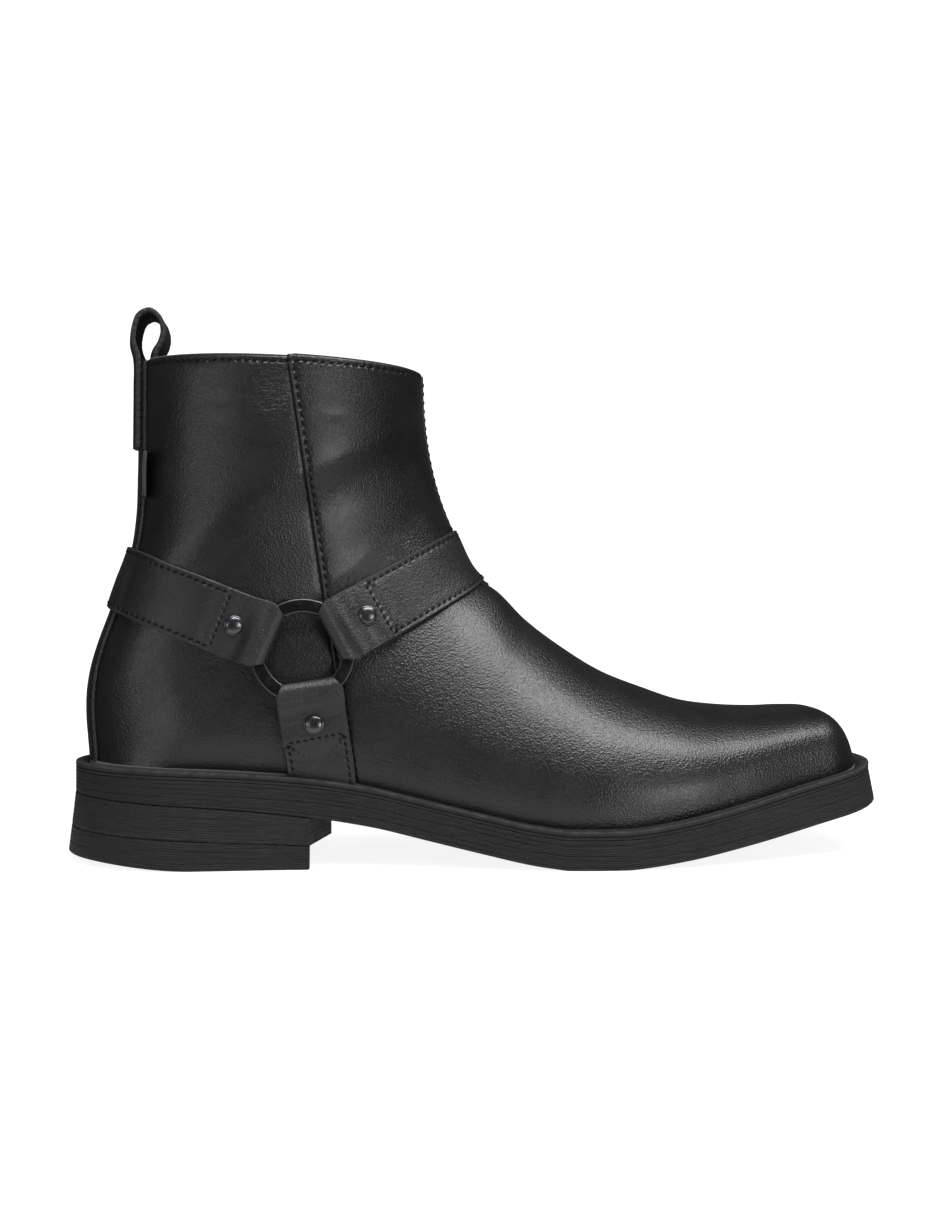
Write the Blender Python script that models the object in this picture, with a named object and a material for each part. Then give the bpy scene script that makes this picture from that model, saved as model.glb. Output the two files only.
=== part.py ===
"""A black leather harness boot for the right foot, built piece by piece on one last.

The toe points along +X, the outer (lateral) side is -Y, and +Z is up. Lengths are in metres.
"""

import math
from collections import namedtuple

import bmesh
import bpy
import numpy as np
from mathutils import Vector
from mathutils.bvhtree import BVHTree
from mathutils.interpolate import poly_3d_calc

# Last
UPPER_LENGTH = 0.2885
BALL_WIDTH = 0.096
HEEL_WIDTH = 0.0605
TOE_WIDTH = 0.054
SHAFT_WIDTH = 0.077
UPPER_HEIGHT = 0.1469
COLLAR_DROP = 0.0029
INSTEP_HEIGHT = 0.081
TOE_BOX_HEIGHT = 0.023
HEEL_CURVE_LENGTH = 0.036
TOE_CORNER_LENGTH = 0.017

# Sole
HEEL_HEIGHT = 0.0222
TOE_SPRING = 0.0187
SOLE_THICKNESS = 0.0138
TOE_THICKENING = 0.0016
WELT_MARGIN = 0.0062
WELT_THICKNESS = 0.0030
WELT_SEAT = 0.011
EDGE_BEVEL = 0.0007
HEEL_BREAST = 0.0800
HEEL_NOSE_LENGTH = 0.0080
HEEL_NOSE_WIDTH = 0.026
HEEL_FLARE = 0.0026
HEEL_ROCKER = 0.0016
TOE_LEAN = 0.17
LIFT_THICKNESS = 0.0088
INSOLE_THICKNESS = 0.0030
INSOLE_INSET = 0.0042

# Leather
WALL = 0.0022
SEAM_STEP = 0.0010
SEAM_BACK_OF_COLLAR = 0.054
SEAM_RAKE = 0.150
BACKSTAY_WIDTH = 0.029
BACKSTAY_THICKNESS = 0.0011
STRAP_WIDTH = 0.0240
STRAP_END_WIDTH = 0.0222
STRAP_THICKNESS = 0.0018
LOOP_WIDTH = 0.022
LOOP_THICKNESS = 0.0014
LOOP_HEIGHT = 0.0196
LOOP_OUTER_LEG = 0.031
LOOP_INNER_LEG = 0.020
TAB_HEIGHT = 0.0165
TAB_REACH = 0.0085
TAB_THICKNESS = 0.0018
TAB_BELOW_COLLAR = 0.034

# Harness hardware
RING_DIAMETER = 0.0372
RING_WIRE = 0.0042
RING_SETBACK = 0.0774
RING_RISE = 0.0448
RIVET_DIAMETER = 0.0070
RIVET_DOME = 0.0021
RIVET_REACH = 0.0258
SEAM_REACH = 0.0325
BACK_STRAP_PITCH = math.radians(158.2)
FRONT_STRAP_PITCH = math.radians(28.5)
LOW_STRAP_PITCH = math.radians(-80.8)

# Clearance between pieces that touch in the real boot, and of one laid on the curved upper
GAP = 0.0003
LAY_GAP = 0.0005

# Mesh resolution
SECTION_COUNT = 43
HALF_AROUND = 13
GUIDE_SECTIONS = 110
GUIDE_HALF_AROUND = 40
OUTLINE_COUNT = 32
STRAP_STEP = 0.0046
STRAP_COLUMNS = 4
LATERAL = -1
MEDIAL = 1

HEEL_SEAT = HEEL_HEIGHT + SOLE_THICKNESS

# Half widths of the feather line behind the toe corner, without the heel's rounding.
# along: share of the upper's length from the heel. lateral, medial: half widths.
Girth = namedtuple("Girth", "along lateral medial")
FEATHER_TABLE = (
    Girth(0.00, 0.475 * HEEL_WIDTH, 0.465 * HEEL_WIDTH),
    Girth(0.12, 0.500 * HEEL_WIDTH, 0.490 * HEEL_WIDTH),
    Girth(0.24, 0.508 * HEEL_WIDTH, 0.480 * HEEL_WIDTH),
    Girth(0.36, 0.350 * BALL_WIDTH, 0.305 * BALL_WIDTH),
    Girth(0.47, 0.412 * BALL_WIDTH, 0.325 * BALL_WIDTH),
    Girth(0.57, 0.475 * BALL_WIDTH, 0.405 * BALL_WIDTH),
    Girth(0.65, 0.500 * BALL_WIDTH, 0.470 * BALL_WIDTH),
    Girth(0.73, 0.484 * BALL_WIDTH, 0.490 * BALL_WIDTH),
    Girth(0.82, 0.420 * BALL_WIDTH, 0.440 * BALL_WIDTH),
    Girth(0.91, 0.595 * TOE_WIDTH, 0.610 * TOE_WIDTH),
    Girth(1.00, 0.480 * TOE_WIDTH, 0.490 * TOE_WIDTH),
)

# Underside of the sole from the heel back to the flat under the ball.
# along: share of the upper's length. rise: height over the ground.
Tread = namedtuple("Tread", "along rise")
SHANK_TABLE = (
    Tread(-0.04, 1.010 * HEEL_HEIGHT),
    Tread(0.00, 1.000 * HEEL_HEIGHT),
    Tread(0.15, 0.930 * HEEL_HEIGHT),
    Tread(0.28, 0.800 * HEEL_HEIGHT),
    Tread(0.35, 0.660 * HEEL_HEIGHT),
    Tread(0.42, 0.450 * HEEL_HEIGHT),
    Tread(0.49, 0.240 * HEEL_HEIGHT),
    Tread(0.55, 0.075 * HEEL_HEIGHT),
    Tread(0.59, 0.000 * HEEL_HEIGHT),
)
FLAT_END = 0.665
TOE_CURVE = 1.30

# Sections of the upper, in order from the toe tip to the collar.
# station: 0 at the toe tip to 1 at the heel back along the feather line, then to 2 up the back.
# ridge: share of the front profile. bulge: widest half width over the feather table's.
# belly: where the section is widest. low, high: squareness under and over the belly.
# lean: how far the ridge lies to the inner side.
Section = namedtuple("Section", "place station ridge bulge belly low high lean")
UPPER_TABLE = (
    Section("toe tip", 0.000, 0.000, 1.00, 0.30, 2.2, 2.3, 0.000 * BALL_WIDTH),
    Section("toe front", 0.028, 0.030, 1.00, 0.30, 2.2, 2.4, 0.000 * BALL_WIDTH),
    Section("toe corner", 0.060, 0.062, 1.01, 0.30, 2.2, 2.6, 0.002 * BALL_WIDTH),
    Section("toe edge", 0.092, 0.092, 1.02, 0.28, 2.2, 2.8, 0.004 * BALL_WIDTH),
    Section("toe box", 0.140, 0.140, 1.02, 0.26, 2.2, 2.75, 0.008 * BALL_WIDTH),
    Section("toe back", 0.210, 0.225, 1.02, 0.24, 2.2, 2.45, 0.016 * BALL_WIDTH),
    Section("fore ball", 0.290, 0.325, 1.025, 0.22, 2.2, 2.15, 0.026 * BALL_WIDTH),
    Section("ball", 0.385, 0.435, 1.03, 0.22, 2.2, 1.95, 0.036 * BALL_WIDTH),
    Section("waist", 0.480, 0.535, 1.04, 0.23, 2.2, 1.85, 0.040 * BALL_WIDTH),
    Section("instep", 0.575, 0.618, 1.06, 0.26, 2.2, 1.82, 0.036 * BALL_WIDTH),
    Section("arch", 0.670, 0.685, 1.08, 0.30, 2.2, 1.82, 0.028 * BALL_WIDTH),
    Section("heel front", 0.770, 0.735, 1.09, 0.34, 2.2, 1.85, 0.020 * BALL_WIDTH),
    Section("heel side", 0.870, 0.778, 1.10, 0.38, 2.2, 1.88, 0.012 * BALL_WIDTH),
    Section("heel round", 0.945, 0.808, 1.11, 0.42, 2.2, 1.90, 0.006 * BALL_WIDTH),
    Section("heel back", 1.000, 0.832, 1.12, 0.45, 2.2, 1.92, 0.003 * BALL_WIDTH),
    Section("heel bulge", 1.130, 0.862, 1.13, 0.46, 2.15, 1.92, 0.000 * BALL_WIDTH),
    Section("achilles", 1.330, 0.895, 1.145, 0.47, 2.1, 1.92, 0.000 * BALL_WIDTH),
    Section("ankle", 1.540, 0.928, 0.975 * SHAFT_WIDTH / HEEL_WIDTH, 0.48, 2.05, 1.90, 0.000 * BALL_WIDTH),
    Section("shaft", 1.760, 0.963, 0.990 * SHAFT_WIDTH / HEEL_WIDTH, 0.48, 2.0, 1.88, 0.000 * BALL_WIDTH),
    Section("collar", 2.000, 1.000, 1.010 * SHAFT_WIDTH / HEEL_WIDTH, 0.48, 2.0, 1.86, 0.000 * BALL_WIDTH),
)
HEEL_ROW = 14

Finish = namedtuple("Finish", "name colour roughness metallic")
LEATHER = Finish("upper_leather", (0.014, 0.0135, 0.014), 0.38, 0.0)
STRAP = Finish("strap_leather", (0.019, 0.018, 0.018), 0.50, 0.0)
COVER = Finish("insole_cover", (0.030, 0.028, 0.027), 0.80, 0.0)
RUBBER = Finish("sole_rubber", (0.021, 0.021, 0.021), 0.72, 0.0)
WELT = Finish("welt_rubber", (0.026, 0.025, 0.024), 0.55, 0.0)
METAL = Finish("black_metal", (0.012, 0.012, 0.013), 0.28, 1.0)


def ramp(value, low, high):
    """0 below low, 1 above high, and a smooth step between."""
    share = min(1.0, max(0.0, (value - low) / (high - low)))
    return share * share * (3.0 - 2.0 * share)


def monotone(xs, ys):
    """A smooth curve through a table that never overshoots its rows."""
    xs, ys = np.array(xs, float), np.array(ys, float)
    steps = np.diff(xs)
    rise = np.diff(ys) / steps
    slope = np.zeros(len(xs))
    slope[0], slope[-1] = rise[0], rise[-1]
    for i in range(1, len(xs) - 1):
        if rise[i - 1] * rise[i] > 0:
            near, far = 2 * steps[i] + steps[i - 1], steps[i] + 2 * steps[i - 1]
            slope[i] = (near + far) / (near / rise[i - 1] + far / rise[i])

    def value(x):
        i = int(np.clip(np.searchsorted(xs, x) - 1, 0, len(xs) - 2))
        t = (min(max(x, xs[0]), xs[-1]) - xs[i]) / steps[i]
        h = steps[i]
        return float(
            ys[i] * (1 + 2 * t) * (1 - t) ** 2
            + slope[i] * h * t * (1 - t) ** 2
            + ys[i + 1] * t * t * (3 - 2 * t)
            + slope[i + 1] * h * t * t * (t - 1)
        )

    return value


def column(table, key, name):
    """One column of a table as a smooth function of another."""
    return monotone([getattr(row, key) for row in table], [getattr(row, name) for row in table])


def along_polyline(points):
    """A function that gives the point at a share of a polyline's length."""
    points = np.array(points, float)
    run = np.concatenate([[0.0], np.cumsum(np.linalg.norm(np.diff(points, axis=0), axis=1))])

    def at(share):
        target = share * run[-1]
        return np.array([np.interp(target, run, points[:, k]) for k in range(points.shape[1])])

    return at


def smooth_line(points, per_span=12):
    """A dense polyline on a rounded curve through a few points."""
    points = np.array(points, float)
    padded = np.vstack([2 * points[0] - points[1], points, 2 * points[-1] - points[-2]])
    line = []
    for a, b, c, d in zip(padded, padded[1:], padded[2:], padded[3:]):
        before, span, after = (max(1e-9, np.linalg.norm(q - p)) for p, q in ((a, b), (b, c), (c, d)))
        tangent_b = span * ((b - a) / before * span + (c - b) / span * before) / (before + span)
        tangent_c = span * ((c - b) / span * after + (d - c) / after * span) / (span + after)
        for k in range(per_span):
            t = k / per_span
            line.append(
                b * (1 + 2 * t) * (1 - t) ** 2
                + tangent_b * t * (1 - t) ** 2
                + c * t * t * (3 - 2 * t)
                + tangent_c * t * t * (t - 1)
            )
    line.append(points[-1])
    return np.array(line)


SHANK = column(SHANK_TABLE, "along", "rise")
FEATHER = {
    LATERAL: column(FEATHER_TABLE, "along", "lateral"),
    MEDIAL: column(FEATHER_TABLE, "along", "medial"),
}


def sole_bottom(x):
    """Height of the sole's underside over the ground."""
    along = x / UPPER_LENGTH
    if along <= FLAT_END:
        return SHANK(along)
    reach = (1.0 + WELT_MARGIN / UPPER_LENGTH) - FLAT_END
    return TOE_SPRING * ((along - FLAT_END) / reach) ** TOE_CURVE


def sole_top(x):
    """Height of the welt's top, where the upper stands."""
    return sole_bottom(x) + SOLE_THICKNESS + TOE_THICKENING * ramp(x / UPPER_LENGTH, FLAT_END, 0.95)


def over_sole(along, rise):
    """A point of the front profile, by its height over the welt."""
    x = along * UPPER_LENGTH
    return (x, sole_top(x) + rise)


def over_seat(along, rise):
    """A point of a profile, by its height over the heel seat."""
    return (along * UPPER_LENGTH, HEEL_SEAT + rise)


FRONT_PROFILE = along_polyline(
    smooth_line(
        (
            over_sole(1.0000, 0.00 * TOE_BOX_HEIGHT),
            over_sole(0.9930, 0.28 * TOE_BOX_HEIGHT),
            over_sole(0.9840, 0.54 * TOE_BOX_HEIGHT),
            over_sole(0.9715, 0.78 * TOE_BOX_HEIGHT),
            over_sole(0.9540, 0.95 * TOE_BOX_HEIGHT),
            over_sole(0.9290, 1.04 * TOE_BOX_HEIGHT),
            over_sole(0.8850, 1.15 * TOE_BOX_HEIGHT),
            over_sole(0.8300, 0.378 * INSTEP_HEIGHT),
            over_sole(0.7750, 0.446 * INSTEP_HEIGHT),
            over_sole(0.7200, 0.545 * INSTEP_HEIGHT),
            over_sole(0.6650, 0.645 * INSTEP_HEIGHT),
            over_sole(0.6100, 0.765 * INSTEP_HEIGHT),
            over_sole(0.5600, 0.885 * INSTEP_HEIGHT),
            over_sole(0.5240, 0.990 * INSTEP_HEIGHT),
            over_seat(0.4955, 0.455 * UPPER_HEIGHT),
            over_seat(0.4640, 0.565 * UPPER_HEIGHT),
            over_seat(0.4430, 0.665 * UPPER_HEIGHT),
            over_seat(0.4290, 0.775 * UPPER_HEIGHT),
            over_seat(0.4220, 0.890 * UPPER_HEIGHT),
            over_seat(0.4205, UPPER_HEIGHT - COLLAR_DROP),
        )
    )
)
BACK_PROFILE = along_polyline(
    smooth_line(
        (
            over_seat(0.0000, 0.000 * UPPER_HEIGHT),
            over_seat(-0.0022, 0.050 * UPPER_HEIGHT),
            over_seat(-0.0045, 0.110 * UPPER_HEIGHT),
            over_seat(-0.0042, 0.165 * UPPER_HEIGHT),
            over_seat(-0.0002, 0.220 * UPPER_HEIGHT),
            over_seat(0.0090, 0.285 * UPPER_HEIGHT),
            over_seat(0.0230, 0.360 * UPPER_HEIGHT),
            over_seat(0.0370, 0.440 * UPPER_HEIGHT),
            over_seat(0.0510, 0.515 * UPPER_HEIGHT),
            over_seat(0.0580, 0.600 * UPPER_HEIGHT),
            over_seat(0.0605, 0.720 * UPPER_HEIGHT),
            over_seat(0.0615, 0.860 * UPPER_HEIGHT),
            over_seat(0.0620, 1.000 * UPPER_HEIGHT),
        )
    )
)


def side_width(x, side):
    """Half width of the last's side at x, rounded off at the toe but not at the heel."""
    along = min(1.0, max(0.0, x / UPPER_LENGTH))
    into_corner = max(0.0, (x - UPPER_LENGTH + TOE_CORNER_LENGTH) / TOE_CORNER_LENGTH)
    return FEATHER[side](along) * max(0.0, 1.0 - min(1.0, into_corner) ** 2.8) ** (1 / 2.8)


def feather_width(x, side):
    """Half width of the feather line at x."""
    into_heel = max(0.0, (HEEL_CURVE_LENGTH - x) / HEEL_CURVE_LENGTH)
    return side_width(x, side) * max(0.0, 1.0 - min(1.0, into_heel) ** 2.1) ** (1 / 2.1)


def feather_points(side, count=240):
    """The feather line of one side in plan, from the toe tip to the heel back."""
    turn = [math.pi * k / count for k in range(count + 1)]
    xs = [UPPER_LENGTH * (1 + math.cos(angle)) / 2 for angle in turn]
    return np.array([(x, side * feather_width(x, side)) for x in xs])


def outline(side, margin, count=OUTLINE_COUNT, until=0.0):
    """The feather line moved out by margin, as evenly spaced points from the heel back forward.

    With until, it stops at that x instead of at the toe tip.
    """
    points = feather_points(side)[::-1]
    ahead = np.gradient(points, axis=0)
    ahead /= np.maximum(np.linalg.norm(ahead, axis=1), 1e-12)[:, None]
    outward = np.stack([-ahead[:, 1], ahead[:, 0]], axis=1) * side
    outward[0], outward[-1] = (-1.0, 0.0), (1.0, 0.0)
    moved = points + margin * outward
    moved[0, 1] = moved[-1, 1] = 0.0
    if until:
        inside = moved[moved[:, 0] < until]
        edge = np.interp(until, moved[:, 0], moved[:, 1])
        moved = np.vstack([inside, [(until, edge)]])
    at = along_polyline(moved)
    return np.array([at(k / count) for k in range(count + 1)])


FEATHER_LINE = {side: along_polyline(feather_points(side)) for side in (LATERAL, MEDIAL)}
SECTION_COLUMNS = {
    name: monotone(range(len(UPPER_TABLE)), [getattr(row, name) for row in UPPER_TABLE])
    for name in Section._fields[1:]
}


def half_section(row, side, count):
    """Points of one side of the upper's section at a row of the table, foot to ridge."""
    station, ridge, bulge, belly, low, high, lean = (
        SECTION_COLUMNS[name](row) for name in Section._fields[1:]
    )
    top_x, top_z = FRONT_PROFILE(ridge)
    if station < 1.0:
        foot_x, foot_y = FEATHER_LINE[side](station)
        foot_z, foot_half = sole_top(foot_x) + GAP, abs(foot_y)
    else:
        foot_x, foot_z = BACK_PROFILE(station - 1.0)
        foot_z, foot_half = foot_z + GAP, 0.0
    widest = max(1e-6, side_width(foot_x, side) * bulge)
    cut = min(1.0, foot_half / widest)
    dense = np.linspace(0.0, 1.0, 60)
    below, above = dense**2, 1.0 - (1.0 - dense[1:]) ** 2
    low_half = (1.0 - (1.0 - cut**low) * (1.0 - below) ** low) ** (1 / low)
    high_half = np.maximum(0.0, 1.0 - above**high) ** (1 / high)
    share = np.concatenate([belly * below, belly + (1.0 - belly) * above])
    half = widest * np.concatenate([low_half, high_half])
    points = np.stack(
        [
            foot_x + (top_x - foot_x) * share,
            lean * share + side * half,
            foot_z + (top_z + GAP - foot_z) * share,
        ],
        axis=1,
    )
    at = along_polyline(points)
    return np.array([at(k / count) for k in range(count + 1)])


def upper_rows(section_count, half_around):
    """Rows of the upper's outer face, each from lateral foot over the ridge to medial foot.

    Rows up to the heel row are open at the foot, and the later ones close at the back.
    """
    last = len(UPPER_TABLE) - 1
    places = [last * k / section_count for k in range(section_count + 1)]
    heel = min(range(len(places)), key=lambda k: abs(places[k] - HEEL_ROW))
    places[heel] = HEEL_ROW
    rows = []
    for place in places:
        lateral = half_section(place, LATERAL, half_around)
        medial = half_section(place, MEDIAL, half_around)
        rows.append(np.vstack([lateral, medial[-2::-1]]))
    return np.array(rows), heel


def row_indices(rows, heel):
    """Vertex numbers of the rows: one for the toe tip, and a closed loop from the heel up."""
    around = rows.shape[1]
    index = np.zeros(rows.shape[:2], int)
    points = [rows[0, 0]]
    for i in range(1, len(rows)):
        width = around if i < heel else around - 1
        start = len(points)
        index[i, :width] = range(start, start + width)
        if i >= heel:
            index[i, -1] = start
        points.extend(rows[i, :width])
    return np.array(points), index


def row_faces(index):
    """Faces between the rows, without doubled corners."""
    faces = []
    for i in range(len(index) - 1):
        for j in range(index.shape[1] - 1):
            corners = [index[i, j], index[i, j + 1], index[i + 1, j + 1], index[i + 1, j]]
            face = [c for k, c in enumerate(corners) if c != corners[k - 1]]
            if len(face) > 2:
                faces.append([int(c) for c in face])
    return faces


def vertex_normals(points, faces):
    """Outward normals at the vertices, from the faces around each."""
    normals = np.zeros_like(points)
    for face in faces:
        a, b, c, d = (points[face[k % len(face)]] for k in (0, 1, 2, 3 if len(face) > 3 else 2))
        area = np.cross(c - a, d - b) if len(face) > 3 else np.cross(b - a, c - a)
        for corner in face:
            normals[corner] += area
    return normals / np.maximum(np.linalg.norm(normals, axis=1), 1e-12)[:, None]


class Skin:
    """The upper's outer face as a fine guide that other pieces are laid on."""

    def __init__(self):
        rows, heel = upper_rows(GUIDE_SECTIONS, GUIDE_HALF_AROUND)
        self.points, index = row_indices(rows, heel)
        self.faces = row_faces(index)
        self.normals = vertex_normals(self.points, self.faces)
        self.tree = BVHTree.FromPolygons([Vector(p) for p in self.points], self.faces)

    def near(self, point):
        """The nearest place on the skin and its smooth outward normal."""
        place, _, face, _ = self.tree.find_nearest(Vector(point))
        corners = self.faces[face]
        weights = poly_3d_calc([Vector(self.points[c]) for c in corners], place)
        normal = sum(w * self.normals[c] for w, c in zip(weights, corners))
        return np.array(place), normal / np.linalg.norm(normal)

    def back_curve(self, y, z):
        """How much further forward the back of the skin is at y than on its middle line."""
        low = z - 0.0005
        hits = []
        for shift in (y, 0.0):
            place, _, _, _ = self.tree.ray_cast(Vector((-1.0, shift, low)), Vector((1.0, 0.0, 0.0)))
            hits.append(place[0])
        return hits[0] - hits[1]

    def side_point(self, x, z, side):
        """The place on one side wall at x and z, and its normal."""
        start = Vector((x, side, z))
        place, _, _, _ = self.tree.ray_cast(start, Vector((0.0, -side, 0.0)))
        return self.near(place)


def material_of(finish):
    """The shared material of a finish."""
    material = bpy.data.materials.get(finish.name)
    if material is None:
        material = bpy.data.materials.new(finish.name)
        material.use_nodes = True
        shader = material.node_tree.nodes["Principled BSDF"]
        shader.inputs["Base Color"].default_value = (*finish.colour, 1.0)
        shader.inputs["Roughness"].default_value = finish.roughness
        shader.inputs["Metallic"].default_value = finish.metallic
    return material


def add_piece(name, points, faces, finish, boot):
    """A closed mesh as a named piece of the boot, with its faces pointing out."""
    mesh = bpy.data.meshes.new(name)
    mesh.from_pydata([tuple(map(float, p)) for p in points], [], faces)
    shaped = bmesh.new()
    shaped.from_mesh(mesh)
    bmesh.ops.remove_doubles(shaped, verts=shaped.verts, dist=1e-6)
    bmesh.ops.recalc_face_normals(shaped, faces=shaped.faces)
    shaped.to_mesh(mesh)
    shaped.free()
    mesh.shade_smooth()
    mesh.set_sharp_from_angle(angle=math.radians(40))
    mesh.materials.append(material_of(finish))
    piece = bpy.data.objects.new(name, mesh)
    bpy.context.scene.collection.objects.link(piece)
    piece.parent = boot
    return piece


def grid_solid(outer, inner):
    """Points and faces of a sheet between two grids of points of the same shape."""
    rows, columns = outer.shape[:2]
    points = np.vstack([outer.reshape(-1, 3), inner.reshape(-1, 3)])
    count = rows * columns

    def at(i, j, layer):
        return layer * count + i * columns + j

    faces = []
    for i in range(rows - 1):
        for j in range(columns - 1):
            faces.append([at(i, j, 0), at(i, j + 1, 0), at(i + 1, j + 1, 0), at(i + 1, j, 0)])
            faces.append([at(i, j, 1), at(i + 1, j, 1), at(i + 1, j + 1, 1), at(i, j + 1, 1)])
    for i in range(rows - 1):
        for j, turn in ((0, 1), (columns - 1, -1)):
            faces.append([at(i, j, 0), at(i + 1, j, 0), at(i + 1, j, 1), at(i, j, 1)][::turn])
    for j in range(columns - 1):
        for i, turn in ((0, -1), (rows - 1, 1)):
            faces.append([at(i, j, 0), at(i, j + 1, 0), at(i, j + 1, 1), at(i, j, 1)][::turn])
    return points, faces


def add_slab(name, levels, finish, boot):
    """A closed slab from levels of (lateral points, medial points, height function), bottom first."""
    points, rings = [], []
    for lateral, medial, height in levels:
        plan = list(lateral) + list(medial[::-1])
        if abs(plan[0][1]) < 1e-9:
            plan = plan[:-1]
        if np.allclose(lateral[-1], medial[-1]):
            del plan[len(lateral)]
        rings.append(range(len(points), len(points) + len(plan)))
        points.extend((x, y, height(x)) for x, y in plan)
    faces = []
    for low, high in zip(rings, rings[1:]):
        for k in range(len(low)):
            after = (k + 1) % len(low)
            faces.append([low[k], low[after], high[after], high[k]])
    for ring, turn in ((rings[0], -1), (rings[-1], 1)):
        left, right = list(ring), list(ring)[::-1]
        if abs(levels[0][0][0][1]) < 1e-9:
            right = [ring[0]] + right[:-1]
        for k in range(len(ring) // 2):
            corners = [left[k], left[k + 1], right[k + 1], right[k]]
            face = [c for n, c in enumerate(corners) if c != corners[n - 1]]
            if len(face) > 2 and len(set(face)) == len(face):
                faces.append(face[::turn])
    return add_piece(name, points, faces, finish, boot)


def both_outlines(margin, until=0.0, count=OUTLINE_COUNT):
    """Lateral and medial outline of a sole layer."""
    return outline(LATERAL, margin, count, until), outline(MEDIAL, margin, count, until)


def leaned(sides):
    """An outline at the sole's underside, further forward at the toe than at the welt."""
    moved = []
    for side in sides:
        reach = [ramp(x / UPPER_LENGTH, FLAT_END, 1.0) for x in side[:, 0]]
        shift = TOE_LEAN * SOLE_THICKNESS * np.array(reach)
        moved.append(np.stack([side[:, 0] + shift, side[:, 1]], axis=1))
    return moved


def add_outsole(boot):
    """Rubber outsole: true outline, shank, flat tread under the ball and toe spring."""
    full = both_outlines(WELT_MARGIN)
    trimmed = both_outlines(WELT_MARGIN - EDGE_BEVEL)
    levels = [
        (*leaned(trimmed), sole_bottom),
        (*leaned(full), lambda x: sole_bottom(x) + EDGE_BEVEL),
        (*full, lambda x: sole_top(x) - WELT_THICKNESS - GAP),
    ]
    return add_slab("outsole", levels, RUBBER, boot)


def add_welt(boot):
    """The strip round the top of the outsole that the upper stands on."""
    outer = np.vstack([part[k] for part, k in zip(both_outlines(WELT_MARGIN), (slice(None), slice(-2, 0, -1)))])
    seat = -WELT_SEAT
    inner = np.vstack([part[k] for part, k in zip(both_outlines(seat), (slice(None), slice(-2, 0, -1)))])
    trim = both_outlines(WELT_MARGIN - EDGE_BEVEL)
    trimmed = np.vstack([part[k] for part, k in zip(trim, (slice(None), slice(-2, 0, -1)))])

    def ring(plan, drop):
        return [(x, y, sole_top(x) - drop) for x, y in plan]

    rings = [
        ring(outer, WELT_THICKNESS),
        ring(outer, EDGE_BEVEL),
        ring(trimmed, 0.0),
        ring(inner, 0.0),
        ring(inner, WELT_THICKNESS),
    ]
    count = len(outer)
    faces = []
    for r in range(len(rings)):
        following = (r + 1) % len(rings)
        for k in range(count):
            after = (k + 1) % count
            faces.append(
                [r * count + k, r * count + after, following * count + after, following * count + k]
            )
    return add_piece("welt", [p for part in rings for p in part], faces, WELT, boot)


def add_heel(boot):
    """Heel block with its nose, and the lift under it."""
    count = OUTLINE_COUNT // 2
    slope = HEEL_FLARE / HEEL_HEIGHT

    def flared(height):
        return both_outlines(WELT_MARGIN + slope * (HEEL_HEIGHT - height), HEEL_BREAST, count)

    def with_nose(sides):
        nose_x = HEEL_BREAST + HEEL_NOSE_LENGTH
        lateral, medial = sides
        tip = HEEL_NOSE_WIDTH / 2
        return np.vstack([lateral, [(nose_x, -tip)]]), np.vstack([medial, [(nose_x, tip)]])

    block = [
        (*with_nose(flared(LIFT_THICKNESS + GAP)), lambda x: LIFT_THICKNESS + GAP),
        (*with_nose(flared(HEEL_HEIGHT)), lambda x: sole_bottom(x) - GAP),
    ]
    add_slab("heel_block", block, RUBBER, boot)
    bottom = both_outlines(WELT_MARGIN + HEEL_FLARE - EDGE_BEVEL, HEEL_BREAST, count)

    def rocker(x):
        return HEEL_ROCKER * (1.0 - ramp(x, -WELT_MARGIN, 0.10 * UPPER_LENGTH))

    lift = [
        (*bottom, rocker),
        (*flared(0.0), lambda x: rocker(x) + EDGE_BEVEL),
        (*flared(LIFT_THICKNESS), lambda x: LIFT_THICKNESS),
    ]
    add_slab("heel_lift", lift, RUBBER, boot)


def add_insole(boot):
    """The board inside the upper, resting on the welt."""
    sides = both_outlines(-INSOLE_INSET)
    levels = [
        (*sides, lambda x: sole_top(x) + GAP),
        (*sides, lambda x: sole_top(x) + GAP + INSOLE_THICKNESS),
    ]
    return add_slab("insole", levels, COVER, boot)


def seam_plane():
    """A point on the side seam's plane and its forward normal."""
    top_x = BACK_PROFILE(1.0)[0] + SEAM_BACK_OF_COLLAR
    return Vector((top_x, 0.0, HEEL_SEAT + UPPER_HEIGHT)), Vector((1.0, 0.0, SEAM_RAKE)).normalized()


def raise_vamp(piece, outer_count):
    """Lifts the outer face in front of the side seam by the thickness of the overlapping panel."""
    point, forward = seam_plane()
    mesh = piece.data
    shaped = bmesh.new()
    shaped.from_mesh(mesh)
    outer = shaped.verts.layers.float.new("outer")
    shaped.verts.ensure_lookup_table()
    for vert in shaped.verts:
        vert[outer] = 1.0 if vert.index < outer_count else 0.0
    for shift in (0.0, GAP):
        geometry = shaped.verts[:] + shaped.edges[:] + shaped.faces[:]
        bmesh.ops.bisect_plane(
            shaped, geom=geometry, dist=1e-5, plane_co=point + forward * shift, plane_no=forward
        )
    shaped.normal_update()
    moves = [
        (vert, vert.normal * SEAM_STEP * vert[outer])
        for vert in shaped.verts
        if (vert.co - point).dot(forward) > 0.5 * GAP and vert[outer] > 0.0
    ]
    for vert, move in moves:
        if abs(vert.co.z - sole_top(vert.co.x) - GAP) < 1e-4:
            move.z = 0.0
        vert.co += move
    shaped.to_mesh(mesh)
    shaped.free()


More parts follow.
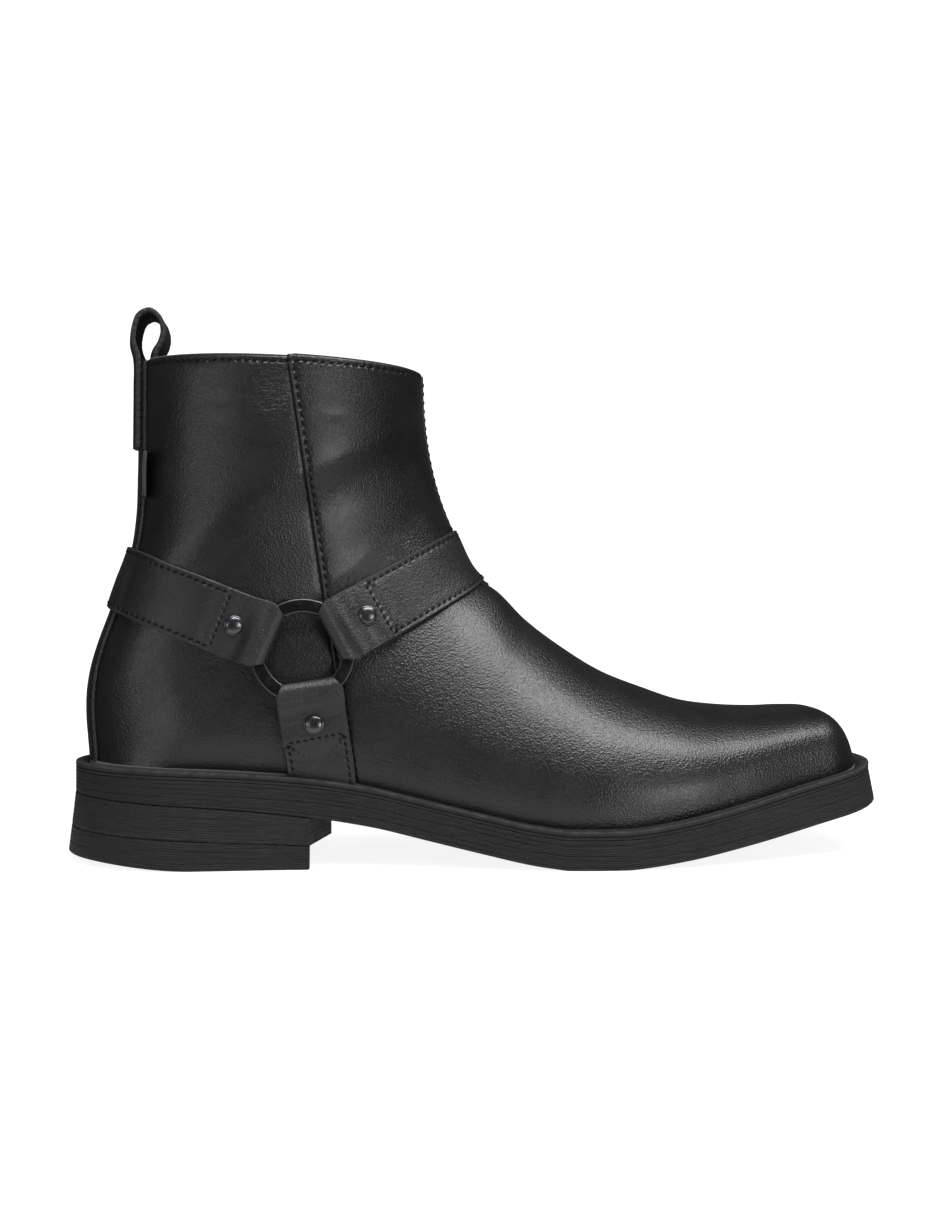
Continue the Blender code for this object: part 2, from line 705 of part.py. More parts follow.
def add_upper(boot):
    """The upper as one hollow solid, open at the collar and underneath."""
    rows, heel = upper_rows(SECTION_COUNT, HALF_AROUND)
    outer, index = row_indices(rows, heel)
    faces = row_faces(index)
    normals = vertex_normals(outer, faces)
    rim = sorted({int(k) for k in index[-1]} | {int(k) for k in index[: heel + 1, (0, -1)].ravel()})
    inward = normals.copy()
    inward[rim, 2] = 0.0
    inward[rim] /= np.linalg.norm(inward[rim], axis=1)[:, None]
    inner = outer - WALL * inward
    count = len(outer)
    faces = faces + [[count + c for c in face[::-1]] for face in faces]
    edges = list(zip(index[-1], index[-1][1:]))
    edges += list(zip(index[: heel + 1, 0], index[1 : heel + 1, 0]))
    edges += list(zip(index[: heel + 1, -1], index[1 : heel + 1, -1]))
    faces += [[int(a), int(b), int(b) + count, int(a) + count] for a, b in edges]
    piece = add_piece("upper", np.vstack([outer, inner]), faces, LEATHER, boot)
    raise_vamp(piece, count)
    return piece


def add_backstay(skin, boot):
    """The strip over the back seam, from the collar down to the welt."""
    last = len(UPPER_TABLE) - 1
    count = round(SECTION_COUNT * (last - HEEL_ROW) / last)
    station = SECTION_COLUMNS["station"]
    outer, inner = [], []
    for k in range(2 * count + 1):
        x, z = BACK_PROFILE(station(HEEL_ROW + (last - HEEL_ROW) * k / (2 * count)) - 1.0)
        low_row, high_row = [], []
        for share in (-1.0, -0.66, -0.33, 0.0, 0.33, 0.66, 1.0):
            place, normal = skin.near((x, share * BACKSTAY_WIDTH / 2, z + GAP))
            if k in (0, 2 * count):
                place[2] = z + GAP
                normal = np.array([normal[0], normal[1], 0.0]) / math.hypot(normal[0], normal[1])
            low_row.append(place + LAY_GAP * normal)
            high_row.append(place + (LAY_GAP + BACKSTAY_THICKNESS) * normal)
        inner.append(low_row)
        outer.append(high_row)
    points, faces = grid_solid(np.array(outer), np.array(inner))
    return add_piece("backstay", points, faces, LEATHER, boot)


class Ring:
    """Where one harness ring lies: its centre, its axes and how far it stands off the upper."""

    def __init__(self, skin, side):
        self.side = side
        x = RING_SETBACK
        self.foot, self.normal = skin.side_point(x, sole_top(x) + RING_RISE, side)
        self.ahead = np.array([1.0, 0.0, 0.0]) - self.normal[0] * self.normal
        self.ahead /= np.linalg.norm(self.ahead)
        self.up = np.cross(self.ahead, self.normal) * side
        self.radius = (RING_DIAMETER - RING_WIRE) / 2
        highest = 0.0
        for k in range(24):
            angle = math.tau * k / 24
            flat = self.foot + self.radius * self.toward(angle)
            place, _ = skin.near(flat)
            highest = max(highest, float(np.dot(place - flat, self.normal)))
        self.height = highest + SEAM_STEP + LAY_GAP + STRAP_THICKNESS + 1.4 * GAP + RING_WIRE / 2

    def toward(self, angle):
        """Direction in the ring's plane at an angle up from straight ahead."""
        return math.cos(angle) * self.ahead + math.sin(angle) * self.up

    def centre(self):
        """The ring's centre."""
        return self.foot + self.height * self.normal


def add_ring(ring, name, boot):
    """A round-wire ring."""
    turns, sides = 28, 7
    points, faces = [], []
    for k in range(turns):
        spoke = ring.toward(math.tau * k / turns)
        for m in range(sides):
            angle = math.tau * m / sides
            reach = ring.radius + RING_WIRE / 2 * math.cos(angle)
            points.append(ring.centre() + reach * spoke + RING_WIRE / 2 * math.sin(angle) * ring.normal)
    for k in range(turns):
        for m in range(sides):
            a, b = k * sides + m, k * sides + (m + 1) % sides
            c, d = (k + 1) % turns * sides + (m + 1) % sides, (k + 1) % turns * sides + m
            faces.append([a, b, c, d])
    return add_piece(name, points, faces, METAL, boot)


def add_rivet(name, seat, normal, boot):
    """A domed rivet head on the strap's face."""
    turns, rows = 12, 3
    side = np.cross(normal, (1.0, 0.0, 0.3))
    side /= np.linalg.norm(side)
    other = np.cross(normal, side)
    points = []
    for r in range(rows + 1):
        rise = math.pi / 2 * max(0, r - 1) / rows
        radius = RIVET_DIAMETER / 2 * (1.0 if r < 2 else math.cos(rise))
        height = 0.0 if r == 0 else RIVET_DOME * (0.25 + 0.75 * math.sin(rise))
        for k in range(turns):
            angle = math.tau * k / turns
            flat = math.cos(angle) * side + math.sin(angle) * other
            points.append(seat + (GAP + height) * normal + radius * flat)
    points.append(seat + (GAP + RIVET_DOME) * normal)
    faces = [list(range(turns))[::-1]]
    for r in range(rows):
        for k in range(turns):
            after = (k + 1) % turns
            faces.append(
                [r * turns + k, r * turns + after, (r + 1) * turns + after, (r + 1) * turns + k]
            )
    for k in range(turns):
        faces.append([rows * turns + k, rows * turns + (k + 1) % turns, (rows + 1) * turns])
    return add_piece(name, points, faces, METAL, boot)


class Course:
    """The line of a strap over the skin, in a plane seen edge-on from the side, by its length."""

    def __init__(self, skin, ring, pitch, stop):
        self.skin = skin
        self.ring = ring
        self.pitch = pitch
        along = np.array([math.cos(pitch), 0.0, math.sin(pitch)])
        self.across = np.array([-math.sin(pitch), 0.0, math.cos(pitch)])
        point = ring.foot
        step, heading = 0.001, along
        places, normals = [point], [ring.normal]
        while not stop(point) and len(places) < 600:
            for _ in range(2):
                ahead = point + step * heading
                ahead = ahead - np.dot(ahead - ring.foot, self.across) * self.across
                place, normal = skin.near(ahead)
                place = place - np.dot(place - ring.foot, self.across) * self.across
            moved = place - point
            heading = moved / np.linalg.norm(moved)
            point = place
            places.append(point)
            normals.append(normal)
        self.places, self.normals = np.array(places), np.array(normals)
        runs = np.linalg.norm(np.diff(self.places, axis=0), axis=1)
        self.run = np.concatenate([[0.0], np.cumsum(runs)])
        self.length = float(self.run[-1])

    def at(self, along, across):
        """The place and normal at a distance along the strap and across it."""
        centre = np.array([np.interp(along, self.run, self.places[:, k]) for k in range(3)])
        return self.skin.near(centre + across * self.across)


def strap_half_width(reach):
    """Half width of a strap at a distance from its ring's centre: narrow where it folds."""
    narrow, wide = STRAP_END_WIDTH / 2, STRAP_WIDTH / 2
    start = (RING_DIAMETER - RING_WIRE) / 2
    return narrow + (wide - narrow) * ramp(reach, start - RING_WIRE, start + 1.3 * RING_WIRE)


def fold_path(ring):
    """The strap's middle from its sewn length, round the wire and back under it.

    Each row is (reach, height, laid): laid is 1 on the upper and 0 at the wire.
    """
    lying = 0.5 * STRAP_THICKNESS
    doubled = lying + STRAP_THICKNESS + 0.5 * GAP
    hug = RING_WIRE / 2 + 1.4 * GAP + STRAP_THICKNESS / 2
    path = [
        (SEAM_REACH + 3.5 * STRAP_THICKNESS, lying, 1.0),
        (SEAM_REACH + 1.8 * STRAP_THICKNESS, 0.55 * lying + 0.45 * doubled, 1.0),
        (SEAM_REACH, doubled, 1.0),
        (RIVET_REACH - 0.5 * RIVET_DIAMETER - 4 * GAP, doubled, 0.8),
    ]
    turns = 8
    for k in range(turns + 1):
        angle = math.radians(40 + 225 * k / turns)
        path.append((ring.radius + hug * math.cos(angle), ring.height + hug * math.sin(angle), 0.0))
    path += [
        (ring.radius + 1.3 * hug, 0.4 * (ring.height - hug) + 0.6 * lying, 0.5),
        (ring.radius + 2.2 * hug, lying, 1.0),
        (SEAM_REACH - STRAP_THICKNESS, lying, 1.0),
    ]
    return path


def fold_rows(course, ring, direction, lift, far_end):
    """Outer and inner grid rows of the folded end of a strap at one ring.

    direction is the strap's direction in the ring's plane. far_end turns a distance from this
    ring into a distance along the course.
    """
    sideways = np.cross(ring.normal, direction)
    if np.dot(sideways, course.across) < 0:
        sideways = -sideways
    path = np.array(fold_path(ring))
    ahead = np.gradient(path[:, :2], axis=0)
    ahead /= np.linalg.norm(ahead, axis=1)[:, None]
    normal = np.stack([ahead[:, 1], -ahead[:, 0]], axis=1)
    if normal[0, 1] < 0:
        normal = -normal
    outer, inner = [], []
    for (reach, height, laid), (tilt, rise) in zip(path, normal):
        half = strap_half_width(reach)
        for rows, offset in ((outer, 0.5 * STRAP_THICKNESS), (inner, -0.5 * STRAP_THICKNESS)):
            far, tall = reach + offset * tilt, height + offset * rise
            row = []
            for k in range(STRAP_COLUMNS + 1):
                across = half * (2 * k / STRAP_COLUMNS - 1)
                turn = across / ring.radius
                spoke = math.cos(turn) * direction + math.sin(turn) * sideways
                radial = ring.foot + far * spoke + tall * ring.normal
                place, outward = course.at(far_end(max(far, 0.0)), across)
                flush = place + (tall + LAY_GAP + lift(place)) * outward
                row.append((1 - laid) * radial + laid * flush)
            rows.append(row)
    return outer, inner


def laid_rows(course, start, end, lift):
    """Outer and inner grid rows of a strap lying on the upper between two distances."""
    count = max(2, round((end - start) / STRAP_STEP))
    outer, inner = [], []
    for k in range(1, count):
        along = start + (end - start) * k / count
        rows = ([], [])
        for m in range(STRAP_COLUMNS + 1):
            across = STRAP_WIDTH / 2 * (2 * m / STRAP_COLUMNS - 1)
            place, outward = course.at(along, across)
            base = LAY_GAP + lift(place)
            rows[0].append(place + (base + STRAP_THICKNESS) * outward)
            rows[1].append(place + base * outward)
        outer.append(rows[0])
        inner.append(rows[1])
    return outer, inner


def over_backstay(place):
    """How far a strap is lifted where it crosses the backstay."""
    edge = BACKSTAY_WIDTH / 2
    if place[0] > 0.3 * UPPER_LENGTH:
        return 0.0
    return (BACKSTAY_THICKNESS + GAP) * (1.0 - ramp(abs(place[1]), edge, edge + 0.006))


def over_vamp(place):
    """How far a strap is lifted by the overlapping front panel."""
    return SEAM_STEP


def add_wrapping_strap(name, course, rings, lift, boot):
    """A strap from the lateral ring round the boot to the medial ring."""
    lateral, medial = rings
    pitch = course.pitch
    start_outer, start_inner = fold_rows(course, lateral, lateral.toward(pitch), lift, lambda r: r)
    end_outer, end_inner = fold_rows(
        course, medial, medial.toward(pitch), lift, lambda r: course.length - r
    )
    reach = fold_path(lateral)[0][0]
    mid_outer, mid_inner = laid_rows(course, reach, course.length - reach, lift)
    outer = np.array(start_outer[::-1] + mid_outer + end_outer)
    inner = np.array(start_inner[::-1] + mid_inner + end_inner)
    points, faces = grid_solid(outer, inner)
    return add_piece(name, points, faces, STRAP, boot)


def add_low_strap(name, course, ring, boot):
    """A strap from a ring straight down to the welt."""
    outer, inner = fold_rows(course, ring, ring.toward(LOW_STRAP_PITCH), over_vamp, lambda r: r)
    reach = fold_path(ring)[0][0]
    low_outer, low_inner = laid_rows(course, reach, course.length, over_vamp)
    for rows in (low_outer, low_inner):
        foot = []
        for x, y, _ in rows[-1]:
            foot.append(np.array([x, y, sole_top(x) + GAP]))
        rows[-1] = foot
    points, faces = grid_solid(
        np.array(outer[::-1] + low_outer), np.array(inner[::-1] + low_inner)
    )
    return add_piece(name, points, faces, STRAP, boot)


def add_harness(skin, boot):
    """Rings, straps and rivets of both sides."""
    rings = {side: Ring(skin, side) for side in (LATERAL, MEDIAL)}
    names = {LATERAL: "lateral", MEDIAL: "medial"}
    ring_x = rings[LATERAL].foot[0]

    def stop_at_other_ring(sign):
        return lambda p: p[1] > 0 and sign * (p[0] - ring_x) <= 0

    back = Course(skin, rings[LATERAL], BACK_STRAP_PITCH, stop_at_other_ring(-1))
    front = Course(skin, rings[LATERAL], FRONT_STRAP_PITCH, stop_at_other_ring(1))
    pair = (rings[LATERAL], rings[MEDIAL])
    add_wrapping_strap("strap_back", back, pair, over_backstay, boot)
    add_wrapping_strap("strap_front", front, pair, over_vamp, boot)
    for side, ring in rings.items():
        low = Course(skin, ring, LOW_STRAP_PITCH, lambda p: p[2] <= sole_top(p[0]) + GAP + 0.0008)
        add_low_strap("strap_low_" + names[side], low, ring, boot)
        add_ring(ring, "ring_" + names[side], boot)
        places = (("back", back, over_backstay), ("front", front, over_vamp), ("low", low, over_vamp))
        for word, course, lift in places:
            other_end = side == MEDIAL and word != "low"
            along = course.length - RIVET_REACH if other_end else RIVET_REACH
            place, outward = course.at(along, 0.0)
            doubled = LAY_GAP + lift(place) + 2 * STRAP_THICKNESS + 0.5 * GAP
            add_rivet(f"rivet_{word}_{names[side]}", place + doubled * outward, outward, boot)


def add_pull_loop(skin, boot):
    """The loop at the back of the collar: down the outside, over, and down inside."""
    back_x, collar_z = BACK_PROFILE(1.0)
    outside = back_x - LAY_GAP - BACKSTAY_THICKNESS - GAP - LOOP_THICKNESS / 2
    inside = back_x + WALL + LAY_GAP + LOOP_THICKNESS / 2
    across = inside - outside
    turn = [
        (outside - 0.05 * across, collar_z + 0.12 * LOOP_HEIGHT),
        (outside - 0.22 * across, collar_z + 0.35 * LOOP_HEIGHT),
        (outside - 0.02 * across, collar_z + 0.66 * LOOP_HEIGHT),
        (outside + 0.44 * across, collar_z + 0.90 * LOOP_HEIGHT),
        (outside + 1.08 * across, collar_z + 0.97 * LOOP_HEIGHT),
        (outside + 1.66 * across, collar_z + 0.84 * LOOP_HEIGHT),
        (outside + 1.82 * across, collar_z + 0.60 * LOOP_HEIGHT),
        (outside + 1.56 * across, collar_z + 0.38 * LOOP_HEIGHT),
        (outside + 1.14 * across, collar_z + 0.20 * LOOP_HEIGHT),
        (inside + 0.02 * across, collar_z + 0.02 * LOOP_HEIGHT),
    ]
    legs = []
    for length, sink in ((LOOP_OUTER_LEG, outside - back_x), (LOOP_INNER_LEG, inside - back_x)):
        shares = (1.0, 0.65, 0.3)
        leg = [BACK_PROFILE(1.0 - share * length / UPPER_HEIGHT) for share in shares]
        legs.append([(x + sink, z) for x, z in leg])
    line = smooth_line(legs[0] + turn + legs[1][::-1], per_span=2)
    ahead = np.gradient(line, axis=0)
    ahead /= np.linalg.norm(ahead, axis=1)[:, None]
    normal = np.stack([-ahead[:, 1], ahead[:, 0]], axis=1)
    grids = []
    for offset in (LOOP_THICKNESS / 2, -LOOP_THICKNESS / 2):
        rows = []
        for x, z in line + offset * normal:
            fade = 1.0 - ramp(z, collar_z, collar_z + LOOP_HEIGHT)
            row = []
            for share in (-1.0, -0.5, 0.0, 0.5, 1.0):
                y = share * LOOP_WIDTH / 2
                row.append((x + fade * skin.back_curve(y, min(z, collar_z)), y, z))
            rows.append(row)
        grids.append(np.array(rows))
    points, faces = grid_solid(*grids)
    return add_piece("pull_loop", points, faces, STRAP, boot)


def add_side_tab(skin, boot):
    """The blank leather tab sewn in beside the backstay on the lateral side."""
    top = HEEL_SEAT + UPPER_HEIGHT - TAB_BELOW_COLLAR
    grids = []
    for side_of_tab in (1.0, 0.0):
        rows = []
        for k in range(5):
            z = top - TAB_HEIGHT * k / 4
            x = np.interp(z, *np.array([BACK_PROFILE(s)[::-1] for s in np.linspace(0.4, 1.0, 30)]).T)
            place, normal = skin.near((x, -BACKSTAY_WIDTH / 2, z))
            ahead = np.cross(normal, (0.0, 0.0, 1.0))
            ahead /= np.linalg.norm(ahead)
            if ahead[0] < 0:
                ahead = -ahead
            row = []
            for share in (0.0, 0.5, 1.0):
                reach = GAP * 2 + share * TAB_REACH * (1.0 - 0.35 * (k / 4) ** 2)
                lift = GAP * 2 + TAB_REACH * 0.30 * share**1.6 + side_of_tab * TAB_THICKNESS
                row.append(place + reach * ahead + lift * normal)
            rows.append(row)
        grids.append(np.array(rows))
    points, faces = grid_solid(*grids)
    return add_piece("side_tab", points, faces, STRAP, boot)


def main():
    """Clears the scene and builds the boot, centred over the ground."""
    for thing in list(bpy.data.objects):
        bpy.data.objects.remove(thing)
    boot = bpy.data.objects.new("boot", None)
    bpy.context.scene.collection.objects.link(boot)
    lateral, medial = both_outlines(WELT_MARGIN)
    heel_tip = outline(LATERAL, WELT_MARGIN + HEEL_FLARE)[0][0]
    toe_tip = leaned((lateral, medial))[0][-1][0]
    middle_x = (heel_tip + toe_tip) / 2
    middle_y = (lateral[:, 1].min() + medial[:, 1].max()) / 2
    boot.location = (-middle_x, -middle_y, 0.0)
    skin = Skin()
    add_outsole(boot)
    add_welt(boot)
    add_heel(boot)
    add_insole(boot)
    add_upper(boot)
    add_backstay(skin, boot)
    add_harness(skin, boot)
    add_pull_loop(skin, boot)
    add_side_tab(skin, boot)


main()
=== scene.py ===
"""The looks of a black leather harness boot, built over its solid model.

The toe points along +X, the outer (lateral) side is -Y and +Z is up. Lengths are in metres.
"""

import logging
import math
from dataclasses import dataclass, field
from enum import Enum
from typing import Callable, Iterable, Sequence

import bmesh
import bpy
import numpy as np
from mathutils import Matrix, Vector
from mathutils.bvhtree import BVHTree
from mathutils.interpolate import poly_3d_calc


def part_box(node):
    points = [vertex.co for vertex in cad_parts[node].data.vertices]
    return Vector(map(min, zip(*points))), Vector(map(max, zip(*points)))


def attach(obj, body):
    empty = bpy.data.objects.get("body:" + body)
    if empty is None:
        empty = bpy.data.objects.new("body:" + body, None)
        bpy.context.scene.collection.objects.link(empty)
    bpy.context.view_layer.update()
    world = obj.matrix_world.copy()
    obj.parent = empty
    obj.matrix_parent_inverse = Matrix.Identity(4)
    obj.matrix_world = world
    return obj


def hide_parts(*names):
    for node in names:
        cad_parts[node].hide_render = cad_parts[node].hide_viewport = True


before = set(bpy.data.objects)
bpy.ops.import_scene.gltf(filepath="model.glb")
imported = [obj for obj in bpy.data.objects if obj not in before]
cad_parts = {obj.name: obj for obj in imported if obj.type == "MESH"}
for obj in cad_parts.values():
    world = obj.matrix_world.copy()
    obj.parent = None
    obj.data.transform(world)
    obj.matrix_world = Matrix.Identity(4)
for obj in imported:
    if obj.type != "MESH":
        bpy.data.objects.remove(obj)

log = logging.getLogger("boot")
Grid = np.ndarray
Triple = tuple[float, float, float]
Material = bpy.types.Material
Mark = float | Grid | Sequence[Sequence[float]]
Height = Callable[[float | Grid], Grid]
MM = 0.001
WAVES = ((1.0, 0.5), (1.73, 0.3), (3.31, 0.2))


class Side(Enum):
    """The two sides of the boot, by the sign of y."""

    LATERAL = -1
    MEDIAL = 1


def ramp(value: float | Grid, low: float, high: float) -> float | Grid:
    """A smooth step from 0 up to low to 1 from high on."""
    share = np.clip((value - low) / (high - low), 0.0, 1.0)
    return share * share * (3.0 - 2.0 * share)


def hump(value: Grid, middle: float, width: float) -> Grid:
    """A soft bell of height 1, with its half width at a third of its height."""
    return np.exp(-(((value - middle) / width) ** 2))


def unit(vectors: Grid) -> Grid:
    """Vectors of length 1 along the last axis."""
    return vectors / np.maximum(np.linalg.norm(vectors, axis=-1, keepdims=True), 1e-12)


def sideways(plan: Grid) -> Grid:
    """The outward normals of a closed outline in plan."""
    ahead = unit(np.roll(plan, -1, axis=0) - np.roll(plan, 1, axis=0))
    return np.stack([ahead[:, 1], -ahead[:, 0]], axis=1)


def bridge(sides: tuple[Grid, Grid], count: int) -> Grid:
    """Rows of points from side to side of an outline, with count points a row."""
    across = np.linspace(0.0, 1.0, count)[None, :, None]
    return sides[0][:, None, :] * (1 - across) + sides[1][:, None, :] * across


def closed_plan(lateral: Grid, medial: Grid) -> Grid:
    """One closed outline from two sides that share their first and last points."""
    return np.vstack([lateral, medial[-2:0:-1]])


def between(
    outer: Grid, normals: Grid, across: Grid, rows: Sequence[int], targets: Grid
) -> tuple[Grid, Grid]:
    """A line of stitches over a strip, between its columns of points.

    Args:
        outer: the strip's outer face, in rows and columns.
        normals: its normals.
        across: distance of each point from the strip's middle.
        rows: the row of each point of the line.
        targets: the distance of each from the middle.

    Returns:
        The line's places and their normals.
    """
    spots = list(zip(rows, targets))
    places = [[np.interp(far, across[r], outer[r, :, k]) for k in range(3)] for r, far in spots]
    return np.array(places), np.array([normals[r, int(np.argmin(abs(across[r] - far)))] for r, far in spots])


def cubic(t: float | Grid, start: Grid, end: Grid, leave: Grid, arrive: Grid) -> Grid:
    """The cubic from start to end at t from 0 to 1, with its slope at both."""
    near, far = start * (1 + 2 * t) * (1 - t) ** 2 + leave * t * (1 - t) ** 2, end * t * t * (3 - 2 * t)
    return near + far + arrive * t * t * (t - 1)


class Track:
    """A smooth curve through a table that never overshoots its rows."""

    def __init__(self, xs: Sequence[float], ys: Sequence[float]) -> None:
        """Works out the slope at each row.

        Args:
            xs: the rows' places, rising.
            ys: the rows' values.
        """
        self.xs, self.ys = np.array(xs, float), np.array(ys, float)
        steps = np.diff(self.xs)
        rise = np.diff(self.ys) / steps
        self.slope = np.zeros(len(self.xs))
        self.slope[0], self.slope[-1] = rise[0], rise[-1]
        for i in range(1, len(self.xs) - 1):
            if rise[i - 1] * rise[i] > 0:
                near, far = 2 * steps[i] + steps[i - 1], steps[i] + 2 * steps[i - 1]
                self.slope[i] = (near + far) / (near / rise[i - 1] + far / rise[i])

    def __call__(self, x: float | Grid) -> Grid:
        """The curve's value.

        Args:
            x: one place or an array of them.

        Returns:
            The values there, held at the ends.
        """
        i = np.clip(np.searchsorted(self.xs, x) - 1, 0, len(self.xs) - 2)
        h = self.xs[i + 1] - self.xs[i]
        t = (np.clip(x, self.xs[0], self.xs[-1]) - self.xs[i]) / h
        return cubic(t, self.ys[i], self.ys[i + 1], self.slope[i] * h, self.slope[i + 1] * h)


class Line:
    """A polyline that is read by its length."""

    def __init__(self, points: Sequence[Sequence[float]]) -> None:
        """Measures the line.

        Args:
            points: its corners, in order.
        """
        self.points = np.array(points, float)
        steps = np.linalg.norm(np.diff(self.points, axis=0), axis=1)
        self.run = np.concatenate([[0.0], np.cumsum(steps)])
        self.length = float(self.run[-1])

    def along(self, distance: float | Grid) -> Grid:
        """A point at a distance from the start, or an array of them."""
        columns = [np.interp(distance, self.run, column) for column in self.points.T]
        return np.stack(columns, axis=-1)

    def at(self, share: float | Grid) -> Grid:
        """Points at shares of the whole length."""
        return self.along(np.asarray(share) * self.length)


def rounded(points: Sequence[Sequence[float]], per_span: int = 12) -> Grid:
    """A dense polyline on a rounded curve through a few points.

    Args:
        points: the points that the curve passes.
        per_span: steps between two of them.

    Returns:
        The polyline's points.
    """
    points = np.array(points, float)
    padded = np.vstack([2 * points[0] - points[1], points, 2 * points[-1] - points[-2]])
    line = []
    for a, b, c, d in zip(padded, padded[1:], padded[2:], padded[3:]):
        before, span, after = (max(1e-9, np.linalg.norm(q - p)) for p, q in ((a, b), (b, c), (c, d)))
        start = span * ((b - a) / before * span + (c - b) / span * before) / (before + span)
        end = span * ((c - b) / span * after + (d - c) / after * span) / (span + after)
        line += [cubic(k / per_span, b, c, start, end) for k in range(per_span)]
    line.append(points[-1])
    return np.array(line)


@dataclass
class Last:
    """The shape that every piece is laid on, with the heel back at x = 0."""

    upper_length: float = 0.2885
    ball_width: float = 0.096
    heel_width: float = 0.0605
    toe_width: float = 0.054
    shaft_width: float = 0.077
    upper_height: float = 0.1469
    collar_drop: float = 0.0029
    instep_height: float = 0.081
    toe_box_height: float = 0.023
    heel_curve: float = 0.036
    toe_corner: float = 0.017
    heel_height: float = 0.0222
    toe_spring: float = 0.0187
    sole_thickness: float = 0.0138
    toe_thickening: float = 0.0016
    flat_end: float = 0.665
    toe_curve: float = 1.3
    gap: float = 0.0003
    heel_row: int = 14
    feather_steps: int = 720
    girths: tuple[Track, Track] = field(init=False)
    shank: Track = field(init=False)
    front: Line = field(init=False)
    back: Line = field(init=False)
    feather: dict[Side, Line] = field(init=False)
    sections: dict[str, Track] = field(init=False)

    def __post_init__(self) -> None:
        """Turns the tables into curves."""
        heel, ball, toe = self.heel_width, self.ball_width, self.toe_width
        rows = (
            (0.0, 0.475 * heel, 0.465 * heel),
            (0.12, 0.5 * heel, 0.49 * heel),
            (0.24, 0.508 * heel, 0.48 * heel),
            (0.36, 0.35 * ball, 0.305 * ball),
            (0.47, 0.412 * ball, 0.325 * ball),
            (0.57, 0.475 * ball, 0.405 * ball),
            (0.65, 0.5 * ball, 0.47 * ball),
            (0.73, 0.484 * ball, 0.49 * ball),
            (0.82, 0.42 * ball, 0.44 * ball),
            (0.91, 0.595 * toe, 0.61 * toe),
            (1.0, 0.48 * toe, 0.49 * toe),
        )
        along, lateral, medial = zip(*rows)
        self.girths = (Track(along, lateral), Track(along, medial))
        rises = (
            (-0.04, 1.01), (0.0, 1.0), (0.15, 0.93), (0.28, 0.8), (0.35, 0.66),
            (0.42, 0.45), (0.49, 0.24), (0.55, 0.075), (0.59, 0.0),
        )
        self.shank = Track([row[0] for row in rises], [row[1] * self.heel_height for row in rises])
        self.front, self.back = self.profiles()
        self.feather = {side: Line(self.feather_points(side)) for side in Side}
        self.sections = self.section_tracks()

    @property
    def seat(self) -> float:
        """Height of the heel seat over the ground."""
        return self.heel_height + self.sole_thickness

    def profiles(self) -> tuple[Line, Line]:
        """Draws the boot's middle line.

        Returns:
            The ridge from the toe to the collar, and the back from the welt to the collar.
        """
        toe, step = self.toe_box_height, self.instep_height
        low = (
            (1.0, 0.0 * toe), (0.993, 0.28 * toe), (0.984, 0.54 * toe), (0.9715, 0.78 * toe),
            (0.954, 0.95 * toe), (0.929, 1.04 * toe), (0.885, 1.15 * toe), (0.83, 0.378 * step),
            (0.775, 0.446 * step), (0.72, 0.545 * step), (0.665, 0.645 * step),
            (0.61, 0.765 * step), (0.56, 0.885 * step), (0.524, 0.99 * step),
        )
        high = (
            (0.4955, 0.455), (0.464, 0.565), (0.443, 0.665), (0.429, 0.775), (0.422, 0.89),
            (0.4205, 1.0 - self.collar_drop / self.upper_height),
        )
        rear = (
            (0.0, 0.0), (-0.0022, 0.05), (-0.0045, 0.11), (-0.0042, 0.165), (-0.0002, 0.22),
            (0.009, 0.285), (0.023, 0.36), (0.037, 0.44), (0.051, 0.515), (0.058, 0.6),
            (0.0605, 0.72), (0.0615, 0.86), (0.062, 1.0),
        )
        length, height, seat = self.upper_length, self.upper_height, self.seat
        front = [(x * length, float(self.top(x * length)) + z) for x, z in low]
        front += [(x * length, seat + z * height) for x, z in high]
        back = [(x * length, seat + z * height) for x, z in rear]
        return Line(rounded(front)), Line(rounded(back))

    def section_tracks(self) -> dict[str, Track]:
        """Turns the table of sections into curves.

        Returns:
            Its columns by name, from the toe tip to the collar.
        """
        shaft = self.shaft_width / self.heel_width
        rows = (
            (0.0, 0.0, 1.0, 0.3, 2.2, 2.3, 0.0), (0.028, 0.03, 1.0, 0.3, 2.2, 2.4, 0.0),
            (0.06, 0.062, 1.01, 0.3, 2.2, 2.6, 0.002), (0.092, 0.092, 1.02, 0.28, 2.2, 2.8, 0.004),
            (0.14, 0.14, 1.02, 0.26, 2.2, 2.75, 0.008), (0.21, 0.225, 1.02, 0.24, 2.2, 2.45, 0.016),
            (0.29, 0.325, 1.025, 0.22, 2.2, 2.15, 0.026), (0.385, 0.435, 1.03, 0.22, 2.2, 1.95, 0.036),
            (0.48, 0.535, 1.04, 0.23, 2.2, 1.85, 0.04), (0.575, 0.618, 1.06, 0.26, 2.2, 1.82, 0.036),
            (0.67, 0.685, 1.08, 0.3, 2.2, 1.82, 0.028), (0.77, 0.735, 1.09, 0.34, 2.2, 1.85, 0.02),
            (0.87, 0.778, 1.1, 0.38, 2.2, 1.88, 0.012), (0.945, 0.808, 1.11, 0.42, 2.2, 1.9, 0.006),
            (1.0, 0.832, 1.12, 0.45, 2.2, 1.92, 0.003), (1.13, 0.862, 1.13, 0.46, 2.15, 1.92, 0.0),
            (1.33, 0.895, 1.145, 0.47, 2.1, 1.92, 0.0), (1.54, 0.928, 0.975 * shaft, 0.48, 2.05, 1.9, 0.0),
            (1.76, 0.963, 0.99 * shaft, 0.48, 2.0, 1.88, 0.0),
            (2.0, 1.0, 1.01 * shaft, 0.48, 2.0, 1.86, 0.0),
        )
        names = ("station", "ridge", "bulge", "belly", "low", "high", "lean")
        places = range(len(rows))
        return {name: Track(places, column) for name, column in zip(names, zip(*rows))}

